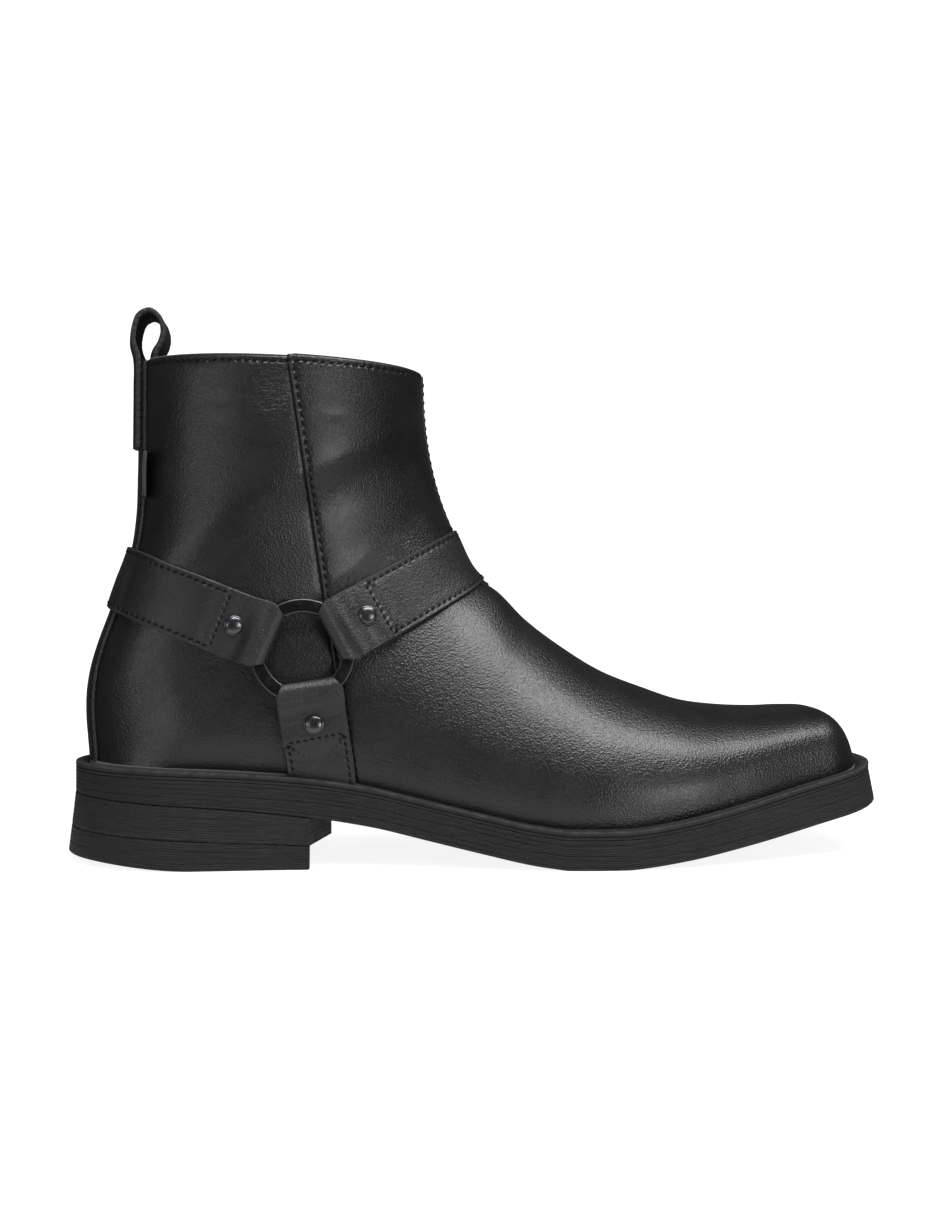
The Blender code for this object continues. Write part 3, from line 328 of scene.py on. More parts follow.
    def bottom(self, x: float | Grid) -> Grid:
        """The sole's underside.

        Args:
            x: places along the boot.

        Returns:
            Its height at each.
        """
        along = np.asarray(x, float) / self.upper_length
        reach = (1.0 + 0.0062 / self.upper_length) - self.flat_end
        toe = self.toe_spring * (np.maximum(along - self.flat_end, 0.0) / reach) ** self.toe_curve
        return np.where(along <= self.flat_end, self.shank(along), toe)

    def heel_line(self, x: float | Grid) -> Grid:
        """Height of the line between outsole and heel, which rises at the back."""
        return self.bottom(x) + np.interp(x, (-0.006, 0.078), (0.0026, 0.0))

    def top(self, x: float | Grid) -> Grid:
        """Height of the welt's top at x, where the upper stands."""
        along = np.asarray(x, float) / self.upper_length
        return self.bottom(x) + self.sole_thickness + self.toe_thickening * ramp(along, self.flat_end, 0.95)

    def side_width(self, x: float | Grid, side: Side) -> Grid:
        """Half width of the last's side, rounded off at the toe but not at the heel.

        Args:
            x: places along the boot.
            side: which side.

        Returns:
            The half widths.
        """
        along = np.clip(np.asarray(x, float) / self.upper_length, 0.0, 1.0)
        corner = np.clip((x - self.upper_length + self.toe_corner) / self.toe_corner, 0.0, 1.0)
        girth = self.girths[0 if side is Side.LATERAL else 1](along)
        return girth * np.maximum(0.0, 1.0 - corner**2.8) ** (1 / 2.8)

    def feather_points(self, side: Side) -> Grid:
        """The line where upper and sole meet, in plan, from the toe tip to the heel back.

        Args:
            side: which side.

        Returns:
            Its points, as x and y.
        """
        xs = self.upper_length * (1 + np.cos(np.linspace(0.0, math.pi, self.feather_steps + 1))) / 2
        heel = np.clip((self.heel_curve - xs) / self.heel_curve, 0.0, 1.0)
        half = self.side_width(xs, side) * np.maximum(0.0, 1.0 - heel**2.1) ** (1 / 2.1)
        return np.stack([xs, side.value * half], axis=1)

    def outline(self, side: Side, margin: float, count: int, until: float = 0.0) -> Grid:
        """The feather line moved out, in even steps from the heel back forward.

        Args:
            side: which side.
            margin: how far it is moved out.
            count: steps along it.
            until: the x where it ends, or 0 for the toe tip.

        Returns:
            Its points, as x and y.
        """
        points = self.feather_points(side)[::-1]
        ahead = unit(np.gradient(points, axis=0))
        outward = np.stack([-ahead[:, 1], ahead[:, 0]], axis=1) * side.value
        outward[0], outward[-1] = (-1.0, 0.0), (1.0, 0.0)
        moved = points + margin * outward
        moved[0, 1] = moved[-1, 1] = 0.0
        if until:
            edge = np.interp(until, moved[:, 0], moved[:, 1])
            moved = np.vstack([moved[moved[:, 0] < until], [(until, edge)]])
        return Line(moved).at(np.linspace(0.0, 1.0, count + 1))

    def half_section(self, row: float, side: Side, count: int) -> Grid:
        """One side of a section of the upper.

        Args:
            row: place in the table of sections.
            side: which side.
            count: steps from the foot to the ridge.

        Returns:
            Its points from the foot to the ridge.
        """
        station, ridge, bulge, belly, low, high, lean = (float(c(row)) for c in self.sections.values())
        top_x, top_z = self.front.at(ridge)
        if station < 1.0:
            foot_x, foot_y = self.feather[side].at(station)
            foot_z, foot_half = float(self.top(foot_x)) + self.gap, abs(foot_y)
        else:
            foot_x, foot_z = self.back.at(station - 1.0)
            foot_z, foot_half = foot_z + self.gap, 0.0
        widest = max(1e-6, float(self.side_width(foot_x, side)) * bulge)
        cut = min(1.0, foot_half / widest)
        dense = np.linspace(0.0, 1.0, 120)
        below, above = dense**2, 1.0 - (1.0 - dense[1:]) ** 2
        low_half = (1.0 - (1.0 - cut**low) * (1.0 - below) ** low) ** (1 / low)
        high_half = np.maximum(0.0, 1.0 - above**high) ** (1 / high)
        share = np.concatenate([belly * below, belly + (1.0 - belly) * above])
        half = widest * np.concatenate([low_half, high_half])
        x = foot_x + (top_x - foot_x) * share
        z = foot_z + (top_z + self.gap - foot_z) * share
        y = lean * self.ball_width * share + side.value * half
        return Line(np.stack([x, y, z], axis=1)).at(np.linspace(0.0, 1.0, count + 1))


@dataclass
class Shape:
    """Points, faces and marks of a piece while it is being made."""

    points: list[Grid] = field(default_factory=list)
    faces: list[tuple[int, ...]] = field(default_factory=list)
    finishes: list[int] = field(default_factory=list)
    marks: dict[str, list[Grid]] = field(default_factory=dict)
    count: int = 0

    def add_points(self, points: Grid, **marks: Mark) -> int:
        """Adds points.

        Args:
            points: an array whose last axis is x, y, z.
            marks: values under each name, kept for the finish.

        Returns:
            The number of the first one.
        """
        flat = np.asarray(points, float).reshape(-1, 3)
        start = self.count
        self.points.append(flat)
        for name, values in marks.items():
            values = np.broadcast_to(np.asarray(values, float), np.shape(points)[:-1]).reshape(-1)
            self.marks.setdefault(name, []).append(values)
        self.count += len(flat)
        return start

    def add_face(self, corners: Iterable[int], finish: int = 0) -> None:
        """Adds a face, without doubled corners.

        Args:
            corners: point numbers.
            finish: which of the piece's finishes it has.
        """
        corners = [int(c) for c in corners]
        face = tuple(c for k, c in enumerate(corners) if c != corners[k - 1])
        if len(face) > 2:
            self.faces.append(face)
            self.finishes.append(finish)

    def add_grid(self, index: Grid, finish: int = 0, wrap: bool = False, turn: bool = False) -> None:
        """Adds the faces between rows of point numbers.

        Args:
            index: point numbers, in rows and columns.
            finish: which of the piece's finishes the faces have.
            wrap: whether each row closes on itself.
            turn: whether the faces look the other way.
        """
        if wrap:
            index = np.hstack([index, index[:, :1]])
        quads = np.stack([index[:-1, :-1], index[:-1, 1:], index[1:, 1:], index[1:, :-1]], axis=-1)
        for quad in quads.reshape(-1, 4):
            self.add_face(quad[::-1] if turn else quad, finish)

    def lattice(
        self, grid: Grid, finish: int = 0, wrap: bool = False, turn: bool = False, **marks: Mark
    ) -> Grid:
        """Adds a grid of points with its faces.

        Args:
            grid: points in rows and columns.
            finish: which of the piece's finishes the faces have.
            wrap: whether each row closes on itself.
            turn: whether the faces look the other way.
            marks: values under each name.

        Returns:
            The point numbers, in the grid's rows and columns.
        """
        start = self.add_points(grid, **marks)
        index = start + np.arange(grid.shape[0] * grid.shape[1]).reshape(grid.shape[:2])
        self.add_grid(index, finish, wrap, turn)
        return index

    def sheet(self, outer: Grid, inner: Grid, **marks: Mark) -> None:
        """Adds a closed sheet between two grids.

        Args:
            outer: points of the outer face.
            inner: points of the inner face, in the same rows and columns.
            marks: values under each name, used for both.
        """
        front = self.lattice(outer, **marks)
        rear = self.lattice(inner, turn=True, **marks)
        ring = np.concatenate([front[0], front[1:, -1], front[-1, -2::-1], front[-2:0:-1, 0]])
        back = np.concatenate([rear[0], rear[1:, -1], rear[-1, -2::-1], rear[-2:0:-1, 0]])
        self.add_grid(np.stack([ring, back]), wrap=True, turn=True)

    def cap(
        self, sides: tuple[Grid, Grid], height: Height, turn: bool, count: int = 9, **marks: float
    ) -> None:
        """Fills an outline from side to side.

        Args:
            sides: lateral and medial outline.
            height: gives z at x.
            turn: whether the cap faces down.
            count: points from side to side.
            marks: values under each name.
        """
        plan = bridge(sides, count)
        self.lattice(np.concatenate([plan, height(plan[..., :1])], axis=-1), turn=turn, **marks)


@dataclass
class Bench:
    """Where the finished pieces are put in place over the ground."""

    shift: Triple

    def place(
        self,
        name: str,
        shape: Shape,
        finishes: Sequence[Material],
        slot: str,
        stands_for: Sequence[str] = (),
        sharp: float = 40.0,
    ) -> None:
        """Makes the piece of a shape, in the boot's frame.

        Args:
            name: the piece's name.
            shape: its points and faces.
            finishes: its materials, in the order that its faces use.
            slot: the record's material slot; not used.
            stands_for: solids that it replaces.
            sharp: edges over this many degrees stay sharp.
        """
        mesh = bpy.data.meshes.new(name)
        points = np.vstack(shape.points) + np.array(self.shift)
        mesh.from_pydata(points.tolist(), [], shape.faces)
        for mark, values in shape.marks.items():
            layer = mesh.attributes.new(mark, "FLOAT", "POINT")
            layer.data.foreach_set("value", np.concatenate(values).astype(np.float32))
        for material in finishes:
            mesh.materials.append(material)
        mesh.polygons.foreach_set("material_index", shape.finishes)
        self.even_out(mesh)
        mesh.shade_smooth()
        mesh.set_sharp_from_angle(angle=math.radians(sharp))
        piece = bpy.data.objects.new(name, mesh)
        bpy.context.scene.collection.objects.link(piece)
        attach(piece, "root")
        if stands_for:
            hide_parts(*stands_for)
        log.info("%s: %d points, %d faces", name, len(mesh.vertices), len(mesh.polygons))

    @staticmethod
    def even_out(mesh: bpy.types.Mesh) -> None:
        """Joins doubled points and turns the faces outward.

        Args:
            mesh: the piece's mesh.
        """
        work = bmesh.new()
        work.from_mesh(mesh)
        bmesh.ops.remove_doubles(work, verts=work.verts, dist=2e-6)
        bmesh.ops.recalc_face_normals(work, faces=work.faces)
        work.to_mesh(mesh)
        work.free()


class Skin:
    """The upper's outer face without its seams, as the guide for pieces laid on it."""

    def __init__(self, last: Last, sections: int = 190, half: int = 64) -> None:
        """Builds the guide.

        Args:
            last: the last.
            sections: steps from the toe to the collar.
            half: steps from the foot to the ridge.
        """
        self.last = last
        self.points, self.index, self.heel = self.surface(last, sections, half)
        shape = Shape()
        shape.add_grid(self.index)
        self.faces = shape.faces
        self.normals = self.smooth_normals(self.points, self.index)
        self.tree = BVHTree.FromPolygons([Vector(p) for p in self.points], self.faces)

    @staticmethod
    def surface(last: Last, sections: int, half: int) -> tuple[Grid, Grid, int]:
        """Points of the outer face.

        Args:
            last: the last.
            sections: steps from the toe to the collar.
            half: steps from the foot to the ridge.

        Returns:
            The points, their numbers by row and column, and the row that ends at the heel back.
        """
        rows = len(last.sections["station"].xs) - 1
        places = np.linspace(0.0, rows, sections + 1)
        heel = int(np.argmin(abs(places - last.heel_row)))
        places[heel] = last.heel_row
        index = np.zeros((sections + 1, 2 * half + 1), int)
        points: list[Grid] = []
        for i, place in enumerate(places):
            lateral = last.half_section(place, Side.LATERAL, half)
            medial = last.half_section(place, Side.MEDIAL, half)
            row = np.vstack([lateral, medial[-2::-1]])
            if i == 0:
                points.append(row[0])
                continue
            width = 2 * half + (i < heel)
            start = len(points)
            index[i, :width] = range(start, start + width)
            if i >= heel:
                index[i, -1] = start
            points.extend(row[:width])
        return np.array(points), index, heel

    @staticmethod
    def smooth_normals(points: Grid, index: Grid) -> Grid:
        """Outward normals.

        Args:
            points: all points.
            index: their numbers by row and column.

        Returns:
            One normal per point.
        """
        a, b, c, d = index[:-1, :-1], index[:-1, 1:], index[1:, 1:], index[1:, :-1]
        area = np.cross(points[c] - points[a], points[d] - points[b])
        normals = np.zeros_like(points)
        for corner in (a, b, c, d):
            np.add.at(normals, corner.reshape(-1), area.reshape(-1, 3))
        return unit(normals)

    def near(self, point: Sequence[float]) -> tuple[Grid, Grid]:
        """The nearest place on the skin.

        Args:
            point: any point.

        Returns:
            The place and its smooth outward normal.
        """
        place, _, face, _ = self.tree.find_nearest(Vector(point))
        corners = self.faces[face]
        weights = poly_3d_calc([Vector(self.points[c]) for c in corners], place)
        normal = sum(w * self.normals[c] for w, c in zip(weights, corners))
        return np.array(place), unit(normal)

    def lay(self, grid: Grid) -> tuple[Grid, Grid]:
        """The nearest places to a grid of points.

        Args:
            grid: points in rows and columns.

        Returns:
            The places and their normals, in the same rows and columns.
        """
        found = [self.near(point) for point in grid.reshape(-1, 3)]
        places = np.array([place for place, _ in found]).reshape(grid.shape)
        return places, np.array([normal for _, normal in found]).reshape(grid.shape)

    def side_point(self, x: float, z: float, side: Side) -> tuple[Grid, Grid]:
        """The place on one side wall at x and z, and its normal."""
        place, _, _, _ = self.tree.ray_cast(Vector((x, side.value, z)), Vector((0.0, -side.value, 0.0)))
        return self.near(place)

    def back_curve(self, y: float, z: float) -> float:
        """How much the back of the skin curves forward.

        Args:
            y: place across the boot.
            z: height.

        Returns:
            How much further forward the skin is there than on its middle line.
        """
        hits = []
        for shift in (y, 0.0):
            place, _, _, _ = self.tree.ray_cast(Vector((-1.0, shift, z - 0.0005)), Vector((1.0, 0.0, 0.0)))
            hits.append(place[0])
        return hits[0] - hits[1]


class Value:
    """A number that varies over a surface, as a shader socket that takes part in sums."""

    def __init__(self, recipe: "Recipe", socket: bpy.types.NodeSocket) -> None:
        """Wraps a socket of a recipe's nodes."""
        self.recipe, self.socket = recipe, socket

    def _sum(self, operation: str, *others: "Value | float") -> "Value":
        """A Math node of this value and others."""
        inputs = dict(enumerate((self, *others)))
        return self.recipe.node("ShaderNodeMath", {"operation": operation}, inputs)

    def __add__(self, other: "Value | float") -> "Value":
        """This plus other."""
        return self._sum("ADD", other)

    __radd__ = __add__

    def __mul__(self, other: "Value | float") -> "Value":
        """This times other."""
        return self._sum("MULTIPLY", other)

    __rmul__ = __mul__

    def __sub__(self, other: "Value | float") -> "Value":
        """This minus other."""
        return self._sum("SUBTRACT", other)

    def __rsub__(self, other: float) -> "Value":
        """Other minus this."""
        return self.recipe.node("ShaderNodeMath", {"operation": "SUBTRACT"}, {0: other, 1: self})

    def __abs__(self) -> "Value":
        """This without its sign."""
        return self._sum("ABSOLUTE")

    def wave(self) -> "Value":
        """The cosine of this."""
        return self._sum("COSINE")

    def step(self, low: float, high: float, start: float = 0.0, end: float = 1.0) -> "Value":
        """A smooth step over this value.

        Args:
            low: where it starts.
            high: where it ends.
            start: the result before low.
            end: the result after high.

        Returns:
            The stepped value.
        """
        settings = {"interpolation_type": "SMOOTHSTEP"}
        return self.recipe.node("ShaderNodeMapRange", settings, {0: self, 1: low, 2: high, 3: start, 4: end})

    def bell(self, width: float) -> "Value":
        """1 where this is 0, falling to 0 at width on both sides."""
        return abs(self).step(0.0, width, 1.0, 0.0)


class Recipe:
    """The node tree of one finish."""

    def __init__(self, name: str) -> None:
        """Starts an empty material.

        Args:
            name: its name.
        """
        self.material = bpy.data.materials.new(name)
        self.material.use_nodes = True
        self.tree = self.material.node_tree
        self.shader = self.tree.nodes["Principled BSDF"]

    def node(self, kind: str, settings: dict, inputs: dict, output: int | str = 0) -> Value:
        """Adds a node.

        Args:
            kind: its type.
            settings: its own settings, set first.
            inputs: values or links by socket name or number.
            output: which output is wanted.

        Returns:
            That output.
        """
        made = self.tree.nodes.new(kind)
        for name, value in settings.items():
            setattr(made, name, value)
        for name, value in inputs.items():
            if isinstance(value, Value):
                self.tree.links.new(value.socket, made.inputs[name])
            else:
                made.inputs[name].default_value = value
        return Value(self, made.outputs[output])

    def place(self, stretch: Triple = (1.0, 1.0, 1.0), turn: Triple = (0.0, 0.0, 0.0)) -> Value:
        """The point on the boot in millimetres.

        Args:
            stretch: how much coarser the pattern is along each axis.
            turn: its turn about each axis.

        Returns:
            The point as a vector.
        """
        point = self.node("ShaderNodeTexCoord", {}, {}, "Object")
        turned = self.node("ShaderNodeMapping", {}, {"Vector": point, "Rotation": turn})
        scale = tuple(1.0 / MM / s for s in stretch)
        return self.node("ShaderNodeMapping", {}, {"Vector": turned, "Scale": scale})

    def mark(self, name: str) -> Value:
        """A value that the piece's points carry."""
        return self.node("ShaderNodeAttribute", {"attribute_name": name}, {}, "Fac")

    def noise(self, where: Value, size: float, detail: float, rough: float, bend: float = 0.0) -> Value:
        """A cloudy pattern from 0 to 1.

        Args:
            where: the point in millimetres.
            size: size of its spots in millimetres.
            detail: finer layers.
            rough: how strong those are.
            bend: how much it is distorted.

        Returns:
            The pattern.
        """
        spots = {"Vector": where, "Scale": 1.0 / size, "Distortion": bend}
        return self.node("ShaderNodeTexNoise", {}, {**spots, "Detail": detail, "Roughness": rough})

    def cells(self, where: Value, size: float) -> Value:
        """A pattern of cells of a size in millimetres."""
        return self.node("ShaderNodeTexVoronoi", {}, {"Vector": where, "Scale": 1.0 / size})

    def blend(self, share: Value, first: Triple | Value, second: Triple) -> Value:
        """A colour between two.

        Args:
            share: 0 for the first and 1 for the second.
            first: a colour or a link.
            second: a colour.

        Returns:
            The colour.
        """
        start = first if isinstance(first, Value) else (*first, 1.0)
        settings = {"data_type": "RGBA", "clamp_factor": True}
        return self.node("ShaderNodeMix", settings, {0: share, 6: start, 7: (*second, 1.0)}, 2)

    def relief(self, height: Value) -> None:
        """Bumps the surface by a height in millimetres."""
        inputs = {"Height": height, "Distance": MM, "Strength": 1.0}
        self.set_inputs({"Normal": self.node("ShaderNodeBump", {}, inputs)})

    def set_inputs(self, inputs: dict) -> None:
        """Sets values or links of the shader's own sockets."""
        for name, value in inputs.items():
            socket = self.shader.inputs[name]
            if isinstance(value, Value):
                self.tree.links.new(value.socket, socket)
            elif isinstance(value, tuple) and len(value) == 3:
                socket.default_value = (*value, 1.0)
            else:
                socket.default_value = value


@dataclass(frozen=True)
class Leather:
    """Smooth black leather with pores, a coarser pebble and soft sheen."""

    name: str
    dark: Triple
    light: Triple
    gloss: tuple[float, float]
    pore: float = 0.75
    pore_depth: float = 0.15
    pebble: float = 1.35
    pebble_depth: float = 0.38
    hair_depth: float = 0.022
    fine_depth: float = 0.05
    crinkle_depth: float = 0.36
    pucker_depth: float = 0.15
    row_depth: float = 0.12
    coat: float = 0.2
    coat_gloss: float = 0.24
    shine: float = 0.4

    def material(self) -> Material:
        """Mixes the finish.

        Returns:
            The material.
        """
        mix = Recipe(self.name)
        where = mix.place()
        cloud = mix.noise(where, 14.0, 4.0, 0.55)
        fine = mix.noise(where, 2.6, 3.0, 0.6)
        pores = mix.cells(where, self.pore)
        hair = mix.noise(where, 0.32, 2.0, 0.7)
        pebble = mix.noise(mix.place((1.55, 1.0, 0.8), (0.0, 0.55, 0.0)), self.pebble, 3.0, 0.62, 0.35)
        pebbled = mix.mark("pebble")
        crinkle = mix.noise(mix.place((4.2, 2.4, 0.8)), 1.1, 3.0, 0.65, 0.8)
        crinkled = mix.mark("crinkle")
        worn = mix.mark("worn")
        row = mix.mark("row_across").bell(1.25)
        pucker = row * (mix.mark("row_along") * math.tau).wave()
        height = pores * self.pore_depth + hair * self.hair_depth + fine * self.fine_depth
        height = height + pebble * pebbled * self.pebble_depth + crinkle * crinkled * self.crinkle_depth
        height = height + pucker * self.pucker_depth - row * self.row_depth
        mix.relief(height)
        shade = cloud.step(0.25, 0.75) * 0.75 + fine * 0.25
        colour = mix.blend(shade, self.dark, self.light)
        # Lighter where marked: wear on cut edges, and painted highlights along the strap edges, the straps'
        # fold rolls and the tab's free edge.
        rubbed_and_highlit = tuple(2.6 * value + 0.006 for value in self.light)
        low, high = self.gloss
        gloss = cloud * (high - low) + low + hair * 0.06 + worn * 0.1
        coat = (1.0 - worn) * (0.6 + 0.4 * cloud) * self.coat
        mix.set_inputs(
            {
                "Base Color": mix.blend(worn * 0.5, colour, rubbed_and_highlit),
                "Roughness": gloss,
                "Coat Weight": coat,
                "Coat Roughness": self.coat_gloss,
                "IOR": 1.46,
                "Specular IOR Level": self.shine,
            }
        )
        return mix.material


@dataclass(frozen=True)
class Lining:
    """Dull lining leather with fine pores."""

    name: str
    dark: Triple
    light: Triple

    def material(self) -> Material:
        """Mixes the finish.

        Returns:
            The material.
        """
        mix = Recipe(self.name)
        where = mix.place()
        cloud = mix.noise(where, 9.0, 4.0, 0.6)
        pores = mix.cells(where, 0.8)
        nap = mix.noise(where, 0.5, 2.0, 0.6)
        mix.relief(pores * 0.05 + nap * 0.05)
        mix.set_inputs(
            {
                "Base Color": mix.blend(cloud.step(0.2, 0.8), self.dark, self.light),
                "Roughness": 0.72 + 0.16 * nap,
                "Sheen Weight": 0.15,
            }
        )
        return mix.material


@dataclass(frozen=True)
class Rubber:
    """Matte moulded rubber with fine wandering lines along the edge."""

    name: str
    dark: Triple
    light: Triple
    line_depth: float = 0.26

    def material(self) -> Material:
        """Mixes the finish.

        Returns:
            The material.
        """
        mix = Recipe(self.name)
        where = mix.place()
        level, wall = mix.mark("level"), mix.mark("wall")
        drift = mix.noise(mix.place((9.0, 9.0, 1.6)), 2.2, 3.0, 0.6)
        fade = mix.noise(mix.place((7.0, 7.0, 0.9)), 1.8, 2.0, 0.6)
        lines = ((level + drift * 0.9) * (math.tau / 0.82)).wave()
        lines = lines.step(-0.9, 0.3) * fade.step(0.3, 0.62) * wall
        speck = mix.noise(where, 0.42, 2.0, 0.65)
        cloud = mix.noise(where, 11.0, 4.0, 0.6)
        dust = mix.noise(where, 3.2, 4.0, 0.7)
        worn = mix.mark("worn")
        mix.relief(lines * self.line_depth + speck * 0.12 + dust * 0.04)
        shade = cloud * 0.45 + speck.step(0.3, 0.8) * 0.3 + lines * 0.25
        colour = mix.blend(shade, self.dark, self.light)
        # Lighter where marked and dusty: scuffs at the sole's edges, and a painted highlight along the welt's
        # top edge and crests.
        rubbed_and_highlit = tuple(2.0 * value + 0.005 for value in self.light)
        mix.set_inputs(
            {
                "Base Color": mix.blend(worn * dust.step(0.25, 0.8), colour, rubbed_and_highlit),
                "Roughness": 0.66 + 0.16 * speck - 0.08 * cloud,
                "IOR": 1.47,
                "Specular IOR Level": 0.18,
            }
        )
        return mix.material


@dataclass(frozen=True)
class Metal:
    """Black plated metal, lighter on its marked edges: painted highlights along the ring's rounded edges, and
    a little lighter at the rivets' rims.
    """

    name: str
    dark: Triple
    light: Triple
    gloss: float

    def material(self) -> Material:
        """Mixes the finish.

        Returns:
            The material.
        """
        mix = Recipe(self.name)
        where = mix.place()
        cloud = mix.noise(where, 3.5, 4.0, 0.6)
        grit = mix.noise(where, 0.3, 2.0, 0.6)
        worn = mix.mark("worn")
        mix.relief(grit * 0.012 + cloud * 0.03)
        # Lighter and more metallic where marked: painted highlights on the ring's edges, a lighter rim on the
        # rivets.
        mix.set_inputs(
            {
                "Base Color": mix.blend(worn * 0.85 + cloud.step(0.45, 0.9) * 0.15, self.dark, self.light),
                "Metallic": 0.9 + 0.1 * worn,
                "Roughness": self.gloss + 0.14 * cloud + 0.05 * grit,
            }
        )
        return mix.material


@dataclass(frozen=True)
class Thread:
    """Twisted black sewing thread, and the shade in its holes."""

    name: str
    dark: Triple
    light: Triple
    shine: float = 0.1

    def material(self) -> Material:
        """Mixes the finish.

        Returns:
            The material.
        """
        mix = Recipe(self.name)
        where = mix.place()
        fibre = mix.noise(mix.place((1.0, 1.0, 0.45), (0.5, 0.6, 0.0)), 0.22, 2.0, 0.7)
        cloud = mix.noise(where, 6.0, 2.0, 0.5)
        mix.relief(fibre * 0.05)
        mix.set_inputs(
            {
                "Base Color": mix.blend(fibre * 0.6 + cloud * 0.4, self.dark, self.light),
                "Roughness": 0.55 + 0.25 * fibre,
                "Specular IOR Level": self.shine,
            }
        )
        return mix.material


def mixed(finish: Leather | Lining | Rubber | Metal | Thread) -> Material:
    """A field of Finishes whose material is mixed when the finishes are made."""
    return field(default_factory=finish.material)


@dataclass
class Finishes:
    """Every finish of the boot, mixed once."""

    upper: Material = mixed(
        Leather("upper_leather_fine", (0.0018, 0.0017, 0.0019), (0.0038, 0.0036, 0.0039), (0.3, 0.38))
    )
    strap: Material = mixed(
        Leather(
            "strap_leather_fine", (0.0026, 0.0025, 0.0026), (0.006, 0.0057, 0.0058), (0.36, 0.48),
            pore=0.65, pore_depth=0.13, coat=0.1, coat_gloss=0.32, shine=0.42,
        )
    )
    loop: Material = mixed(
        Leather(
            "loop_leather_fine", (0.0035, 0.0033, 0.0032), (0.0085, 0.008, 0.0076), (0.58, 0.72),
            pore=0.7, pore_depth=0.16, coat=0.0, coat_gloss=0.5, shine=0.3,
        )
    )
    lining: Material = mixed(Lining("lining_leather", (0.016, 0.015, 0.0145), (0.03, 0.028, 0.027)))
    insole: Material = mixed(Lining("insole_leather", (0.018, 0.017, 0.016), (0.036, 0.033, 0.031)))
    sole: Material = mixed(Rubber("sole_rubber_fine", (0.0036, 0.0035, 0.0036), (0.012, 0.0117, 0.0117)))
    welt: Material = mixed(Rubber("welt_rubber_fine", (0.004, 0.0038, 0.0037), (0.0125, 0.012, 0.0117), 0.05))
    rand: Material = mixed(Lining("rand_board", (0.0026, 0.0023, 0.0021), (0.0095, 0.007, 0.0054)))
    ring: Material = mixed(Metal("ring_black_metal", (0.01, 0.01, 0.011), (0.15, 0.15, 0.155), 0.3))
    rivet: Material = mixed(Metal("rivet_black_metal", (0.05, 0.05, 0.053), (0.2, 0.2, 0.21), 0.16))
    thread: Material = mixed(Thread("black_thread", (0.003, 0.003, 0.0031), (0.01, 0.0098, 0.01)))
    # Painted shade: near-black patches laid where the stitch holes are.
    hole_shade: Material = mixed(Thread("painted_hole_shade", (0.0006, 0.0006, 0.0006), (0.0014, 0.0014, 0.0014), 0.0))


def wander(run: Grid, seed: float, length: float) -> Grid:
    """A slow irregular wave along an edge, from about -1 to 1, with its usual wavelength."""
    turns = [(math.tau * run * rate / length + seed * (1.0 + 2.1 * rate), size) for rate, size in WAVES]
    return sum(size * np.sin(turn) for turn, size in turns)


@dataclass(frozen=True)
class Grooves:
    """The fine grooves that run along a wall of the sole, each coming and going."""

    count: int
    pitch: float
    first: float
    stray: float
    stray_length: float
    gap_seed: float
    gap_length: float
    gap_span: tuple[float, float]
    width: float
    depth: float = 0.00022

    def cut(self, run: Grid, drop: float, seed: float = 0.0) -> Grid:
        """How deep the wall is cut.

        Args:
            run: distances along the wall.
            drop: distance from the wall's top.
            seed: which pattern it is.

        Returns:
            The depth at each distance.
        """
        found = np.zeros(len(run))
        for line in range(self.count):
            stray = self.stray * wander(run, line + seed, self.stray_length)
            fade = ramp(wander(run, line + seed + self.gap_seed, self.gap_length), *self.gap_span)
            found += self.depth * fade * hump(drop, self.pitch * (line + self.first) + stray, self.width)
        return found


@dataclass
class Maker:
    """What every maker of pieces works with."""

    last: Last
    bench: Bench
    finishes: Finishes


